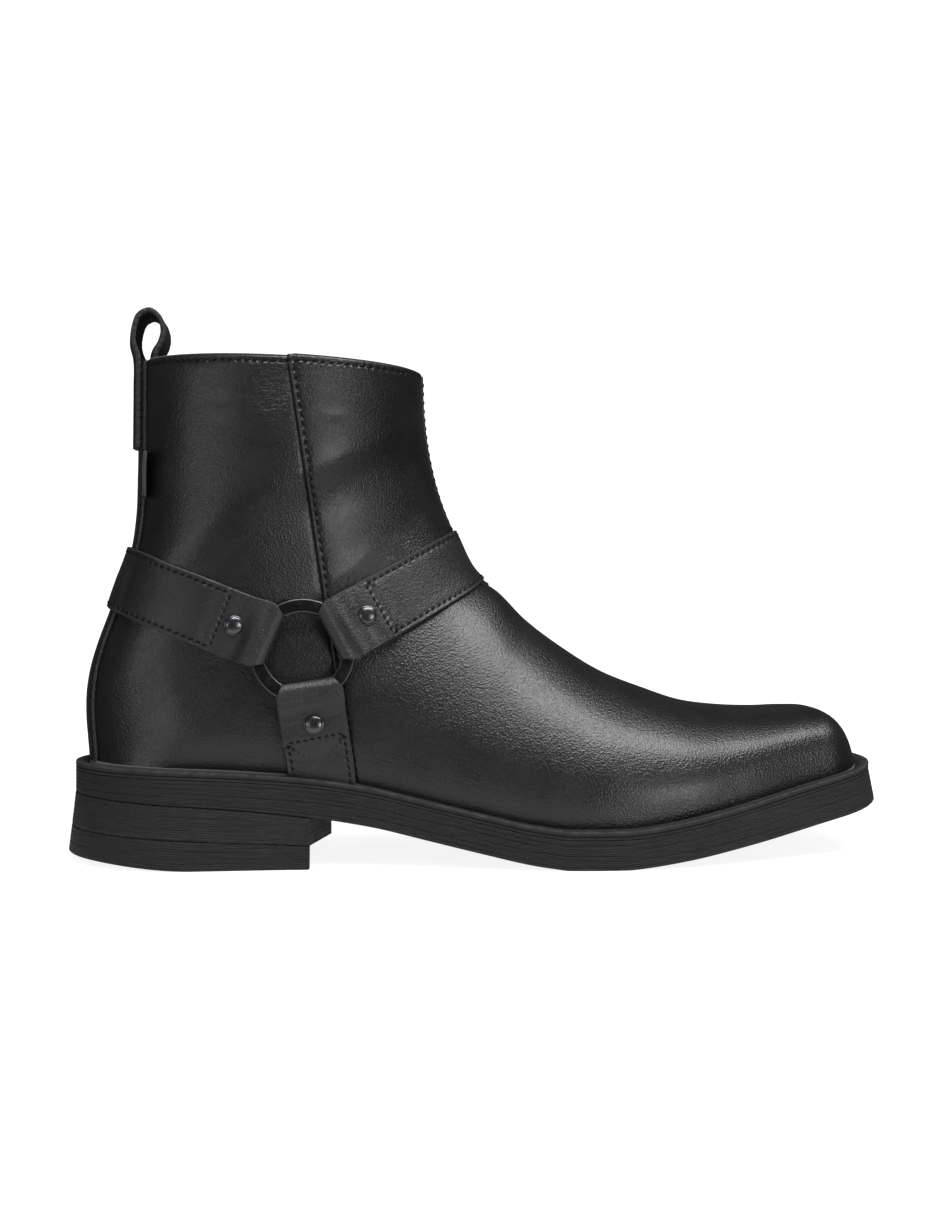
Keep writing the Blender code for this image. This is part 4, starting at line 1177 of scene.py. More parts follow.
@dataclass
class Sole(Maker):
    """The outsole, the welt with its rand, and the insole."""

    margin: float = 0.0062
    welt_thickness: float = 0.003
    bevel: float = 0.0007
    lean: float = 0.17
    insole_inset: float = 0.0042
    insole_thickness: float = 0.003
    steps: int = 230
    levels: int = 40
    rim: float = 0.0003
    girth: float = 0.72
    grooves: Grooves = Grooves(5, 0.00195, 0.9, 0.00035, 0.16, 9.0, 0.11, (-0.55, 0.1), 0.00019)

    def sides(self, margin: float, leaned: float = 0.0) -> tuple[Grid, Grid]:
        """Lateral and medial outline of a layer.

        Args:
            margin: how far outside the feather line it lies.
            leaned: 1 at the tread, where the toe reaches further forward, and 0 at the welt.

        Returns:
            The two outlines.
        """
        found = []
        for side in Side:
            plan = self.last.outline(side, margin, self.steps)
            reach = ramp(plan[:, 0] / self.last.upper_length, self.last.flat_end, 1.0)
            plan[:, 0] += leaned * self.lean * self.last.sole_thickness * reach
            found.append(plan)
        return found[0], found[1]

    def welt_floor(self, x: Grid) -> Grid:
        """Height of the outsole's top at x, under the welt."""
        return self.last.top(x) - self.welt_thickness - self.last.gap * 0.3

    def insole_floor(self, x: Grid) -> Grid:
        """Height of the insole's underside at x."""
        return self.last.top(x) + self.last.gap

    def outsole(self) -> None:
        """The outsole with its grooved wall."""
        shape = Shape()
        tall = self.last.sole_thickness - self.welt_thickness
        rings, level, worn = [], [], []
        for k in range(self.levels + 1):
            share = k / self.levels
            plan = closed_plan(*self.sides(self.margin, 1.0 - share))
            drop = tall * (1.0 - share)
            inset = self.bevel * np.maximum(0.0, 1.0 - (tall - drop) / self.bevel) ** 2
            inset = inset + self.rim * np.maximum(0.0, 1.0 - drop / 0.0005) ** 2
            cut = self.grooves.cut(np.arange(len(plan)) / len(plan) * self.girth, drop)
            plan = plan - sideways(plan) * (inset + cut)[:, None]
            low, high = self.last.heel_line(plan[:, 0]), self.welt_floor(plan[:, 0])
            rings.append(np.column_stack([plan, low + (high - low) * share]))
            level.append([drop / MM])
            worn.append([0.5 * math.exp(-((tall - drop) / self.bevel))])
        shape.lattice(np.array(rings), wrap=True, level=level, worn=worn, wall=1.0)
        trimmed = self.sides(self.margin - self.bevel, 1.0)
        shape.cap(trimmed, self.last.heel_line, True, level=0.0, worn=0.15, wall=0.0)
        shape.cap(self.sides(self.margin - self.rim), self.welt_floor, False, level=0.0, worn=0.0, wall=0.0)
        self.bench.place("outsole_dressed", shape, [self.finishes.sole], "sole_rubber", ["outsole"])

    def welt(self) -> None:
        """The welt with its grooved edge, its channel and the rand at the upper's foot."""
        shape = Shape()
        # The third column marks lighter rubber: a painted highlight along the welt's top outer edge and its
        # crests, with scuffing.
        edge = (
            (-6.0, 3.0, 0.0), (5.7, 3.0, 0.0), (6.12, 2.9, 0.3), (6.22, 2.6, 0.4), (6.2, 2.25, 0.2),
            (5.78, 2.05, 0.0), (5.78, 1.8, 0.0), (6.18, 1.58, 0.3), (6.26, 1.1, 0.2), (6.24, 0.55, 0.5),
            (6.08, 0.18, 1.0), (5.7, 0.02, 1.0), (5.1, 0.0, 0.5), (3.6, 0.0, 0.15), (2.8, 0.12, 0.1),
            (2.1, 0.62, 0.0), (1.5, 1.0, 0.0), (0.6, 1.1, 0.0), (-1.5, 1.1, 0.0), (-6.0, 1.1, 0.0),
        )
        rand = (
            (-1.4, 1.15, 0.0), (0.95, 1.15, 0.0), (1.02, 0.45, 0.3),
            (0.72, -0.18, 0.5), (0.15, -0.42, 0.2), (-1.4, -0.3, 0.0),
        )
        for finish, profile in enumerate((edge, rand)):
            rings, level, worn = [], [], []
            for out, drop, rubbed_and_highlit in (*profile, profile[0]):
                plan = closed_plan(*self.sides(out * MM))
                height = self.last.top(plan[:, 0]) - drop * MM
                rings.append(np.column_stack([plan, height]))
                level.append([drop])
                worn.append([rubbed_and_highlit])
            shape.lattice(np.array(rings), finish, wrap=True, level=level, worn=worn, wall=0.4)
        finishes = [self.finishes.welt, self.finishes.rand]
        self.bench.place("welt_dressed", shape, finishes, "welt_rubber", ["welt"])

    def insole(self) -> None:
        """The insole board under its cover, slightly dished."""
        shape = Shape()
        sides, inner = self.sides(-self.insole_inset), self.sides(-self.insole_inset - 0.0006)
        rings = []
        for outline, share in ((sides, 0.0), (sides, 0.5), (sides, 0.85), (inner, 1.0)):
            plan = closed_plan(*outline)
            height = self.insole_floor(plan[:, 0]) + self.insole_thickness * share
            rings.append(np.column_stack([plan, height]))
        shape.lattice(np.array(rings), wrap=True)
        shape.cap(sides, self.insole_floor, True)
        grid = bridge(inner, 25)
        dish = 0.0009 * np.sin(math.pi * np.linspace(0.0, 1.0, 25))[None, :, None] ** 1.5
        top = self.insole_floor(grid[..., :1]) + self.insole_thickness - dish
        shape.lattice(np.concatenate([grid, top], axis=-1))
        self.bench.place("insole_dressed", shape, [self.finishes.insole], "insole_cover", ["insole"])

    def build(self) -> None:
        """Makes the three layers."""
        self.outsole()
        self.welt()
        self.insole()


@dataclass
class Heel(Maker):
    """The heel block with its nose, and the lift under it."""

    margin: float = 0.0062
    breast: float = 0.08
    nose_length: float = 0.008
    nose_width: float = 0.026
    flare: float = 0.0026
    rocker: float = 0.0027
    lift_heights: tuple[float, float] = (0.0126, 0.008)
    bevel: float = 0.0007
    edge: float = 0.0002
    probe: float = 0.04
    steps: int = 150
    levels: int = 26
    girth: float = 0.26
    grooves: Grooves = Grooves(6, 0.0021, 0.7, 0.0004, 0.13, 5.0, 0.09, (-0.5, 0.15), 0.0002)

    def plan(self, height: float, inset: float, nosed: bool) -> tuple[Grid, Grid]:
        """Lateral and medial outline at a height.

        Args:
            height: height over the ground.
            inset: how far the edge is drawn in.
            nosed: whether the nose is part of it.

        Returns:
            The two outlines, both ending at the front.
        """
        margin = self.margin + self.flare * (self.last.heel_height - height) / self.last.heel_height - inset
        found = []
        for side in Side:
            line = self.last.outline(side, margin, self.steps, self.breast - inset)
            tip = (self.breast + nosed * self.nose_length - inset, side.value * self.nose_width / 2)
            rows = [line[-1] + (np.array(tip) - line[-1]) * share for share in (0.25, 0.5, 0.75, 1.0)]
            found.append(np.vstack([line, rows]))
        return found[0], found[1]

    def lift_foot(self, x: float | Grid) -> Grid:
        """The lift's underside, raised at the heel tip."""
        return np.asarray(self.rocker * (1.0 - ramp(x, -self.margin, 0.14 * self.last.upper_length)), float)

    def lift_top(self, x: float | Grid) -> Grid:
        """The lift's top, which rises towards the back."""
        return np.interp(x, (-self.margin, self.breast), self.lift_heights)

    def block_foot(self, x: float | Grid) -> Grid:
        """The block's underside, just over the lift."""
        return self.lift_top(x) + 0.00025

    def block_top(self, x: float | Grid) -> Grid:
        """The block's top, just under the outsole."""
        return self.last.heel_line(x) - 0.00012

    def layer(self, node: str, low: Height, high: Height, bevel: float, nosed: bool, seed: float) -> None:
        """One layer of the heel with grooved walls.

        Args:
            node: the solid that it stands for.
            low: gives the height of its underside at x.
            high: gives the height of its top at x.
            bevel: how far its lower edge is rubbed round.
            nosed: whether the nose is part of it.
            seed: which pattern of grooves it has.
        """
        shape = Shape()
        rings, level, worn = [], [], []
        base = float(low(self.probe))
        tall = float(high(self.probe)) - base
        for k in range(self.levels + 1):
            share = k / self.levels
            foot, head = share * tall, (1.0 - share) * tall
            edge = bevel * max(0.0, 1.0 - foot / bevel) ** 2 + self.edge * max(0.0, 1.0 - head / 0.0003) ** 2
            lateral, medial = self.plan(base + share * tall, edge, nosed)
            loop = np.vstack([lateral, medial[:0:-1]])
            cut = self.grooves.cut(np.arange(len(loop)) / len(loop) * self.girth, head, seed)
            loop = loop - sideways(loop) * cut[:, None]
            bottom, top = low(loop[:, 0]), high(loop[:, 0])
            rings.append(np.column_stack([loop, bottom + (top - bottom) * share]))
            level.append([head / MM + seed])
            worn.append([0.6 * math.exp(-foot / 0.0006) + 0.25 * math.exp(-head / 0.0005)])
        shape.lattice(np.array(rings), wrap=True, level=level, worn=worn, wall=1.0)
        for share, edge, height, turn in ((0.0, bevel, low, True), (1.0, self.edge, high, False)):
            sides = self.plan(base + share * tall, edge, nosed)
            shape.cap(sides, height, turn, 5, level=0.0, worn=0.1, wall=0.0)
        self.bench.place(node + "_dressed", shape, [self.finishes.sole], "sole_rubber", [node])

    def build(self) -> None:
        """Makes the lift and the block."""
        self.layer("heel_lift", self.lift_foot, self.lift_top, self.bevel, False, 3.0)
        self.layer("heel_block", self.block_foot, self.block_top, self.edge, True, 11.0)


@dataclass(frozen=True)
class Stitch:
    """A kind of stitch: pitch, thread that shows, half the width of the dark patch painted as its hole's
    shade, slant across the row, and rise.
    """

    pitch: float
    length: float
    hole_shade: float
    slant: float
    bulge: float


@dataclass
class Sewing:
    """Thread of every row of stitches on one group of pieces, with near-black patches as painted shade of the
    holes.
    """

    bench: Bench
    finishes: Finishes
    thread: float = 0.00021
    hole_shade_lift: float = 0.00008
    shape: Shape = field(default_factory=Shape)

    def row(self, places: Grid, normals: Grid, stitch: Stitch) -> None:
        """Sews one row.

        Args:
            places: points on the leather along the row.
            normals: its outward normals there.
            stitch: the kind of stitch.
        """
        pitch, length = stitch.pitch, stitch.length
        line = Line(np.hstack([places, normals]))
        line.run = np.concatenate([[0.0], np.cumsum(np.linalg.norm(np.diff(places, axis=0), axis=1))])
        count = int((line.run[-1] - length) / pitch)
        if count < 1:
            return
        turn = np.linspace(0.0, math.tau, 7)[:-1]
        for k in range(count + 1):
            start = (line.run[-1] - count * pitch - length) / 2 + k * pitch
            rows = line.along(start + length * np.array([0.0, 0.2, 0.5, 0.8, 1.0]))
            spots, out = rows[:, :3], unit(rows[:, 3:])
            ahead = unit(spots[-1] - spots[0])
            across = unit(np.cross(out[2], ahead))
            lean = stitch.slant * np.array([-0.5, -0.32, 0.0, 0.32, 0.5])
            lift = stitch.bulge * np.array([-1.3, 0.5, 1.0, 0.5, -1.3])
            middle = spots + lean[:, None] * across + lift[:, None] * out
            size = self.thread * np.array([0.75, 1.0, 1.05, 1.0, 0.75])
            rings = [
                m + s * (np.cos(turn)[:, None] * across + np.sin(turn)[:, None] * o)
                for m, s, o in zip(middle, size, out)
            ]
            self.shape.lattice(np.array(rings), wrap=True)
            # A flat near-black patch under each stitch: painted shade of its holes.
            ahead = unit(length * ahead + stitch.slant * across)
            centre, aside = spots[2] + self.hole_shade_lift * out[2], np.cross(out[2], ahead)
            reach = length / 2 + 0.0001
            angles = np.linspace(0.0, math.tau, 13)[:-1]
            ring = [centre + reach * math.cos(a) * ahead + stitch.hole_shade * math.sin(a) * aside for a in angles]
            first = self.shape.add_points(np.array(ring))
            self.shape.add_face(range(first, first + 12), 1)

    def finish(self, name: str, slot: str) -> None:
        """Puts the group's stitches in place as one piece."""
        self.bench.place(name, self.shape, [self.finishes.thread, self.finishes.hole_shade], slot)


@dataclass
class SewnMaker(Maker):
    """A maker of pieces that lie on the upper and are sewn to it."""

    skin: Skin
    sewing: Sewing


@dataclass(frozen=True)
class Swell:
    """A soft rise or dent of the upper, seen from the side."""

    x: float
    z: float
    wide: float
    tall: float
    rise: float
    turn: float = 0.0


@dataclass(frozen=True)
class Crease:
    """A soft trough or ridge of the upper along a line, seen from the side."""

    line: tuple[tuple[float, float], ...]
    width: float
    rise: float


@dataclass
class Upper(SewnMaker):
    """The leather upper: quarters, the overlapping front panel, the collar and the lining."""

    wall: float = 0.0022
    seam_step: float = 0.001
    seam_back: float = 0.054
    seam_rake: float = 0.15
    seam_row: float = 0.0017
    seam_stitch: Stitch = Stitch(0.0033, 0.0022, 0.00044, 0.0006, 0.00022)
    collar_row: float = 0.002
    collar_stitch: Stitch = Stitch(0.003, 0.002, 0.0004, 0.0009, 0.00016)
    thread_lift: float = 0.00006
    collar_step: float = 0.0007
    sections: int = 285
    half: int = 100
    seam_cuts: tuple[float, ...] = (-2.5, -1.2, -0.5, -0.12, 0.0, 0.15, 0.4, 0.8, 1.3, 1.7, 2.2, 3.0)
    collar_cuts: tuple[float, ...] = (0.3, 0.7, 1.2, 1.6, 2.0, 2.5)
    swells: tuple[Swell, ...] = (
        Swell(0.052, 0.15, 0.017, 0.03, -0.0006, 0.1),
        Swell(0.03, 0.128, 0.012, 0.034, 0.0003),
        Swell(0.088, 0.14, 0.016, 0.03, 0.0003, 0.1),
        Swell(0.046, 0.07, 0.022, 0.012, -0.0011, -0.3),
        Swell(0.036, 0.05, 0.02, 0.01, 0.0006),
        Swell(0.118, 0.094, 0.016, 0.01, -0.0006, 0.6),
        Swell(0.1, 0.112, 0.016, 0.009, 0.0005, 0.3),
    )
    creases: tuple[Crease, ...] = (
        Crease(((0.058, 0.168), (0.05, 0.166), (0.04, 0.167)), 0.0014, -0.00022),
        Crease(((0.061, 0.16), (0.05, 0.157), (0.043, 0.158)), 0.0016, -0.00018),
        Crease(((0.079, 0.163), (0.087, 0.161), (0.096, 0.162)), 0.0015, -0.00018),
        Crease(((0.1, 0.098), (0.112, 0.094), (0.126, 0.098)), 0.003, -0.00035),
        Crease(((0.106, 0.106), (0.118, 0.104), (0.13, 0.108)), 0.0028, -0.0003),
        Crease(((0.02, 0.098), (0.036, 0.104), (0.056, 0.104)), 0.004, -0.00035),
    )

    @property
    def seam_point(self) -> Grid:
        """The point where the side seam meets the collar, on the middle plane."""
        back, height = self.last.back.at(1.0)[0], self.last.seat + self.last.upper_height
        return np.array([back + self.seam_back, 0.0, height])

    @property
    def seam_ahead(self) -> Grid:
        """The seam plane's forward normal."""
        return unit(np.array([1.0, 0.0, self.seam_rake]))

    def below_collar(self, points: Grid) -> Grid:
        """How far points lie below the collar's plane.

        Args:
            points: any points.

        Returns:
            The distance of each.
        """
        back, front = self.last.back.at(1.0), self.last.front.at(1.0)
        along = unit(front - back)
        return (points[..., 0] - back[0]) * along[1] - (points[..., 2] - back[1] - self.last.gap) * along[0]

    def before_seam(self, points: Grid) -> Grid:
        """How far points lie in front of the side seam's edge."""
        return (points - self.seam_point) @ self.seam_ahead

    def relief(self, points: Grid) -> Grid:
        """How far the finished leather stands off the plain shape.

        Args:
            points: places on the outer face.

        Returns:
            The rise at each.
        """
        front = self.before_seam(points) / MM
        places = (-9.0, -2.5, -1.2, -0.5, -0.12, 0.0, 0.15, 0.4, 0.8, 1.3, 1.7, 2.2, 3.0, 4.5, 9.0)
        heights = (0.0, 0.0, -0.05, -0.2, -0.38, 0.05, 0.58, 0.84, 0.86, 0.68, 0.54, 0.68, 0.84, 0.92, 1.0)
        rise = np.interp(front, places, heights) * self.seam_step
        drop = self.below_collar(points) / MM
        places = (-1.0, 0.0, 0.3, 0.7, 1.2, 1.6, 2.0, 2.5, 4.0)
        heights = (-1.1, -0.85, -0.25, 0.0, 0.06, -0.06, -0.22, -0.08, 0.0)
        rise = rise + np.interp(drop, places, heights) * MM
        x, y, z = points[:, 0], points[:, 1], points[:, 2]
        for swell in self.swells:
            wide = (x - swell.x) * math.cos(swell.turn) + (z - swell.z) * math.sin(swell.turn)
            tall = (z - swell.z) * math.cos(swell.turn) - (x - swell.x) * math.sin(swell.turn)
            bell = np.exp(-((wide / swell.wide) ** 2) - (tall / swell.tall) ** 2)
            rise = rise + swell.rise * bell * self.on_sides(y)
        for crease in self.creases:
            rise = rise + crease.rise * self.beside(points, crease)
        return rise

    @staticmethod
    def on_sides(y: Grid) -> Grid:
        """1 on both sides, fading out at the middle line."""
        return sum(ramp(y * side.value, 0.004, 0.016) for side in Side)

    def beside(self, points: Grid, crease: Crease) -> Grid:
        """How much a crease counts at each point.

        Args:
            points: places on the outer face.
            crease: the crease.

        Returns:
            1 on its line, fading across it and at its ends.
        """
        line = Line(rounded(crease.line, 16))
        shares = np.linspace(0.0, 1.0, 40)
        dense = line.at(shares)
        reach = line.length / 2 + 4 * crease.width
        close = np.linalg.norm(points[:, [0, 2]] - dense[20], axis=1) < reach + line.length / 2
        found = np.zeros(len(points))
        part = points[close]
        far = np.linalg.norm(part[:, None, [0, 2]] - dense[None], axis=2)
        nearest = far.argmin(axis=1)
        fade = np.sin(math.pi * np.clip(shares[nearest], 0.02, 0.98)) ** 0.6
        bell = np.exp(-((far.min(axis=1) / crease.width) ** 2)) * fade
        found[close] = bell * self.on_sides(part[:, 1])
        return found

    def marks(self, points: Grid) -> dict[str, Grid]:
        """What the leather's finish needs to know at each point.

        Args:
            points: places on the outer face.

        Returns:
            A value per point under each name.
        """
        x, z = points[:, 0], points[:, 2]
        front, drop = self.before_seam(points) / MM, self.below_collar(points) / MM
        seam, collar = front - self.seam_row / MM, drop - self.collar_row / MM
        sewn = np.where(abs(seam) < abs(collar), seam, collar)
        turned = np.arctan2(points[:, 1], x - 0.068) * 0.046 / self.collar_stitch.pitch
        along = np.where(abs(seam) < abs(collar), -z / self.seam_stitch.pitch, turned)
        shaft = ramp(z, 0.1, 0.13)
        pebble = 0.12 + 0.75 * hump(x, 0.165, 0.05) * (1.0 - shaft) * ramp(z, 0.035, 0.05)
        pebble = pebble + 0.1 * shaft * ramp(front, -2.0, 4.0)
        crinkle = shaft * (0.9 * hump(front, -9.0, 11.0) + 0.55 * hump(front, 16.0, 14.0))
        crinkle = crinkle * hump(drop, 14.0, 13.0) + 0.25 * hump(x, 0.118, 0.014) * hump(z, 0.103, 0.016)
        edge = hump(front, 0.35, 0.35) * 0.7 + hump(drop, 0.4, 0.7) * 0.35
        return {"row_across": sewn, "row_along": along, "pebble": pebble, "crinkle": crinkle, "worn": edge}

    def dressed(self, points: Grid, out: Grid) -> Grid:
        """Moves points of the plain shape to where the finished leather lies.

        Args:
            points: places on the plain shape.
            out: its outward normals there.

        Returns:
            The moved points.
        """
        move = out * self.relief(points)[:, None]
        move[:, 2] *= ramp(points[:, 2] - self.last.top(points[:, 0]), 0.0004, 0.004)
        under = 1.0 - ramp(self.below_collar(points), 0.0, 0.006)
        move[:, 2] += self.collar_step * (ramp(self.before_seam(points) / MM, -0.2, 0.4) * under)
        return points + move

    def outer(self) -> None:
        """The outer leather, cut finely along the side seam and the collar's stitches."""
        points, index, _ = Skin.surface(self.last, self.sections, self.half)
        shape = Shape()
        shape.add_grid(index)
        mesh = bpy.data.meshes.new("upper_work")
        mesh.from_pydata(points.tolist(), [], shape.faces)
        work = bmesh.new()
        work.from_mesh(mesh)
        bpy.data.meshes.remove(mesh)
        cuts = [(self.seam_point, self.seam_ahead, shift) for shift in self.seam_cuts]
        back, front = self.last.back.at(1.0), self.last.front.at(1.0)
        along = unit(front - back)
        top, down = np.array([back[0], 0.0, back[1] + self.last.gap]), np.array([along[1], 0.0, -along[0]])
        cuts += [(top, down, shift) for shift in self.collar_cuts]
        for point, normal, shift in cuts:
            geometry = work.verts[:] + work.edges[:] + work.faces[:]
            place = Vector(point + normal * shift * MM)
            bmesh.ops.bisect_plane(work, geom=geometry, dist=2e-5, plane_co=place, plane_no=Vector(normal))
        bmesh.ops.recalc_face_normals(work, faces=work.faces)
        work.normal_update()
        work.verts.index_update()
        flat = np.array([vert.co[:] for vert in work.verts])
        out = np.array([vert.normal[:] for vert in work.verts])
        if np.mean(np.einsum("ij,ij->i", out, flat - np.array([0.12, 0.0, 0.07]))) < 0:
            out = -out
        shape = Shape()
        shape.add_points(self.dressed(flat, out), **self.marks(flat))
        for face in work.faces:
            shape.add_face([vert.index for vert in face.verts])
        work.free()
        self.bench.place("upper_dressed", shape, [self.finishes.upper], "upper_leather", ["upper"], 60.0)

    def lining(self) -> None:
        """The lining, turned over the collar's edge."""
        points, index, heel = Skin.surface(self.last, 120, 48)
        normals = Skin.smooth_normals(points, index)
        flat = normals.copy()
        rim = np.unique(np.concatenate([index[-1], index[: heel + 1, 0], index[: heel + 1, -1]]))
        flat[rim, 2] = 0.0
        flat = unit(flat)
        inner = points - self.wall * flat
        shape = Shape()
        shape.add_points(inner)
        shape.add_grid(index, turn=True)
        edge = points[index[-1]]
        out = flat[index[-1]]
        lift = np.where(self.before_seam(edge) > 0, self.seam_step, 0.0)[:, None]
        up = np.array([0.0, 0.0, 1.0])
        step = self.collar_step * ramp(self.before_seam(edge) / MM, -0.2, 0.4)[:, None]
        turns = ((0.0022, 0.0), (0.0019, 0.0004), (0.0014, 0.00045), (0.0011, 0.00025), (0.0013, -0.0003))
        rims = [edge + (0.35 * lift - sink) * out + (rise + step) * up for sink, rise in turns]
        shape.lattice(np.array(rims))
        self.bench.place("lining", shape, [self.finishes.lining], "insole_cover")

    def sew(self) -> None:
        """The stitches along both side seams and round the collar."""
        for side in Side:
            places, normals = [], []
            for z in np.linspace(self.last.seat + self.last.upper_height - 0.004, 0.04, 160):
                x = self.seam_point[0] + self.seam_row * 1.01 - (z - self.seam_point[2]) * self.seam_rake
                place, normal = self.skin.side_point(x, z, side)
                places.append(place)
                normals.append(normal)
            out = np.array(normals)
            row = self.dressed(np.array(places), out) + self.thread_lift * out
            self.sewing.row(row, out, self.seam_stitch)
        edge = self.skin.points[self.skin.index[-1]]
        out = self.skin.normals[self.skin.index[-1]]
        down = np.array([0.0, 0.0, -self.collar_row])
        rows = [self.skin.near(point + down) for point in edge]
        places = self.dressed(np.array([place for place, _ in rows]), out) + self.thread_lift * out
        order = range(len(places) // 2, len(places) // 2 + len(places) - 1)
        turned = np.array([k % (len(places) - 1) for k in order])
        self.sewing.row(places[turned], out[turned], self.collar_stitch)

    def build(self) -> None:
        """Makes the outer leather, the lining and their stitches."""
        self.outer()
        self.lining()
        self.sew()


MIDDLE = 11
NO_ROW = 99.0
EDGES = np.array([-1.0, -0.99, -0.965, -0.92, -0.85, -0.75, -0.63, -0.5, -0.37, -0.25, -0.12])
ACROSS = np.concatenate([EDGES, [0.0], -EDGES[::-1]])


def edge_round(share: Grid) -> Grid:
    """How much of its thickness a strip has at shares of its half width."""
    return 0.35 + 0.65 * (1.0 - ramp(abs(share), 0.955, 1.0) ** 1.5)


@dataclass
class Backstay(SewnMaker):
    """The strip over the back seam, the front seam's strip, and their stitches."""

    width: float = 0.029
    thickness: float = 0.0011
    lay: float = 0.0002
    row_inset: float = 0.0021
    stitch: Stitch = Stitch(0.0033, 0.0021, 0.00036, 0.0, 0.00022)
    backstay_least: float = 0.005
    front_width: float = 0.0064
    front_thickness: float = 0.0008

    def strip(
        self, name: str, path: Grid, thickness: float, base: float, nodes: Sequence[str],
        half: float, inset: float,
    ) -> None:
        """Lays a strip on the upper and sews both its edges.

        Args:
            name: the piece's name.
            path: x and z along its middle.
            thickness: the strip's own.
            base: how far its underside lies off the skin.
            nodes: solids that it stands for.
            half: its half width.
            inset: from its edge to the stitches.
        """
        grid = np.array([[(x, share * half, z + self.last.gap) for share in ACROSS] for x, z in path])
        places, normals = self.skin.lay(grid)
        thick = thickness * edge_round(ACROSS)[None, :, None]
        beside = (np.abs(ACROSS) * half - (half - inset)) / MM
        groove = 0.00014 * hump(beside, 0.0, 0.6)[None, :, None]
        outer = places + (base + thick - groove) * normals
        along = (Line(places[:, MIDDLE]).run / self.stitch.pitch)[:, None]
        worn = ramp(abs(ACROSS), 0.9, 1.0) * 0.5
        shape = Shape()
        shape.sheet(
            outer, places + base * normals,
            row_across=beside, row_along=along, pebble=0.3, crinkle=0.04, worn=worn,
        )
        self.bench.place(name, shape, [self.finishes.upper], "upper_leather", nodes)
        rows, across = range(2, len(outer) - 2), np.broadcast_to(ACROSS, outer.shape[:2])
        for side in Side:
            share = side.value * (half - inset) / half
            column, out = between(outer, normals, across, rows, np.full(len(rows), share))
            out = normals[2:-2, MIDDLE] if half < self.backstay_least else out
            self.sewing.row(column, out, self.stitch)

    def build(self) -> None:
        """Makes the backstay and the front seam's strip."""
        start = self.last.sections["station"](self.last.heel_row) - 1.0
        back = self.last.back.at(np.linspace(start, 1.0, 150))
        half = self.width / 2
        self.strip("backstay_dressed", back, self.thickness, self.lay, ["backstay"], half, self.row_inset)
        front = self.last.front.at(np.linspace(0.655, 0.998, 110))
        self.strip("front_seam", front, self.front_thickness, 0.0009, [], self.front_width / 2, 0.0014)


@dataclass
class RingSeat:
    """Where a harness ring lies on one side of the upper."""

    last: Last
    skin: Skin
    side: Side
    outer_radius: float = 0.0186
    inner_radius: float = 0.0138
    thickness: float = 0.0022
    rounding: float = 0.00055
    setback: float = 0.0774
    rise: float = 0.0448
    height: float = 0.0042
    foot: Grid = field(init=False)
    normal: Grid = field(init=False)
    ahead: Grid = field(init=False)
    up: Grid = field(init=False)

    def __post_init__(self) -> None:
        """Finds the place and the ring's own axes."""
        z = float(self.last.top(self.setback)) + self.rise
        self.foot, self.normal = self.skin.side_point(self.setback, z, self.side)
        self.ahead = unit(np.array([1.0, 0.0, 0.0]) - self.normal[0] * self.normal)
        self.up = np.cross(self.ahead, self.normal) * self.side.value

    def toward(self, angle: float | Grid) -> Grid:
        """Directions in the ring's plane at angles up from straight ahead."""
        return np.cos(angle)[..., None] * self.ahead + np.sin(angle)[..., None] * self.up

    def ring(self) -> Shape:
        """The flat ring, rounded along its four edges.

        Returns:
            Its shape.
        """
        width, tall, soft = self.outer_radius - self.inner_radius, self.thickness, self.rounding
        rim = []
        for sx, sy, start in ((1, 1, 0.0), (-1, 1, 90.0), (-1, -1, 180.0), (1, -1, 270.0)):
            for turn in np.radians(start + np.array([0.0, 22.5, 45.0, 67.5, 90.0])):
                out, up = soft * math.cos(turn), soft * math.sin(turn)
                rim.append((sx * (width / 2 - soft) + out, sy * (tall / 2 - soft) + up))
        profile = np.array(rim)
        angles = np.linspace(0.0, math.tau, 121)[:-1]
        spokes = self.toward(angles)
        middle = (self.outer_radius + self.inner_radius) / 2
        centre = self.foot + self.height * self.normal
        reach = (middle + profile[:, 0])[None, :, None]
        rings = centre + reach * spokes[:, None, :] + profile[:, 1][None, :, None] * self.normal
        rings = np.concatenate([rings, rings[:1]])
        # Painted highlight: the rounded edges on the ring's outward-facing half are marked lighter, standing
        # in for the light they catch.
        edge = ramp(abs(profile[:, 0]), width / 2 - soft, width / 2) * ramp(profile[:, 1], 0.0, tall / 2)
        shape = Shape()
        shape.lattice(rings, wrap=True, worn=edge)
        return shape


class Course:
    """The line of a strap over the skin, in a plane seen edge-on from the side."""

    def __init__(self, skin: Skin, seat: RingSeat, pitch: float, stop: Callable[[Grid], bool]) -> None:
        """Walks the line.

        Args:
            skin: the guide.
            seat: the ring that it starts from.
            pitch: its angle up from straight ahead.
            stop: says at each point whether the line ends there.
        """
        self.skin, self.seat, self.pitch = skin, seat, pitch
        self.across = np.array([-math.sin(pitch), 0.0, math.cos(pitch)])
        heading = np.array([math.cos(pitch), 0.0, math.sin(pitch)])
        point = seat.foot
        places = [point]
        while not stop(point) and len(places) < 600:
            ahead = point + 0.001 * heading
            ahead = ahead - np.dot(ahead - seat.foot, self.across) * self.across
            place, _ = skin.near(ahead)
            place = place - np.dot(place - seat.foot, self.across) * self.across
            heading = unit(place - point)
            point = place
            places.append(point)
        self.line = Line(places)

    def at(self, along: float, across: float) -> tuple[Grid, Grid]:
        """The place on the skin and its normal at distances along and across the strap."""
        return self.skin.near(self.line.along(along) + across * self.across)


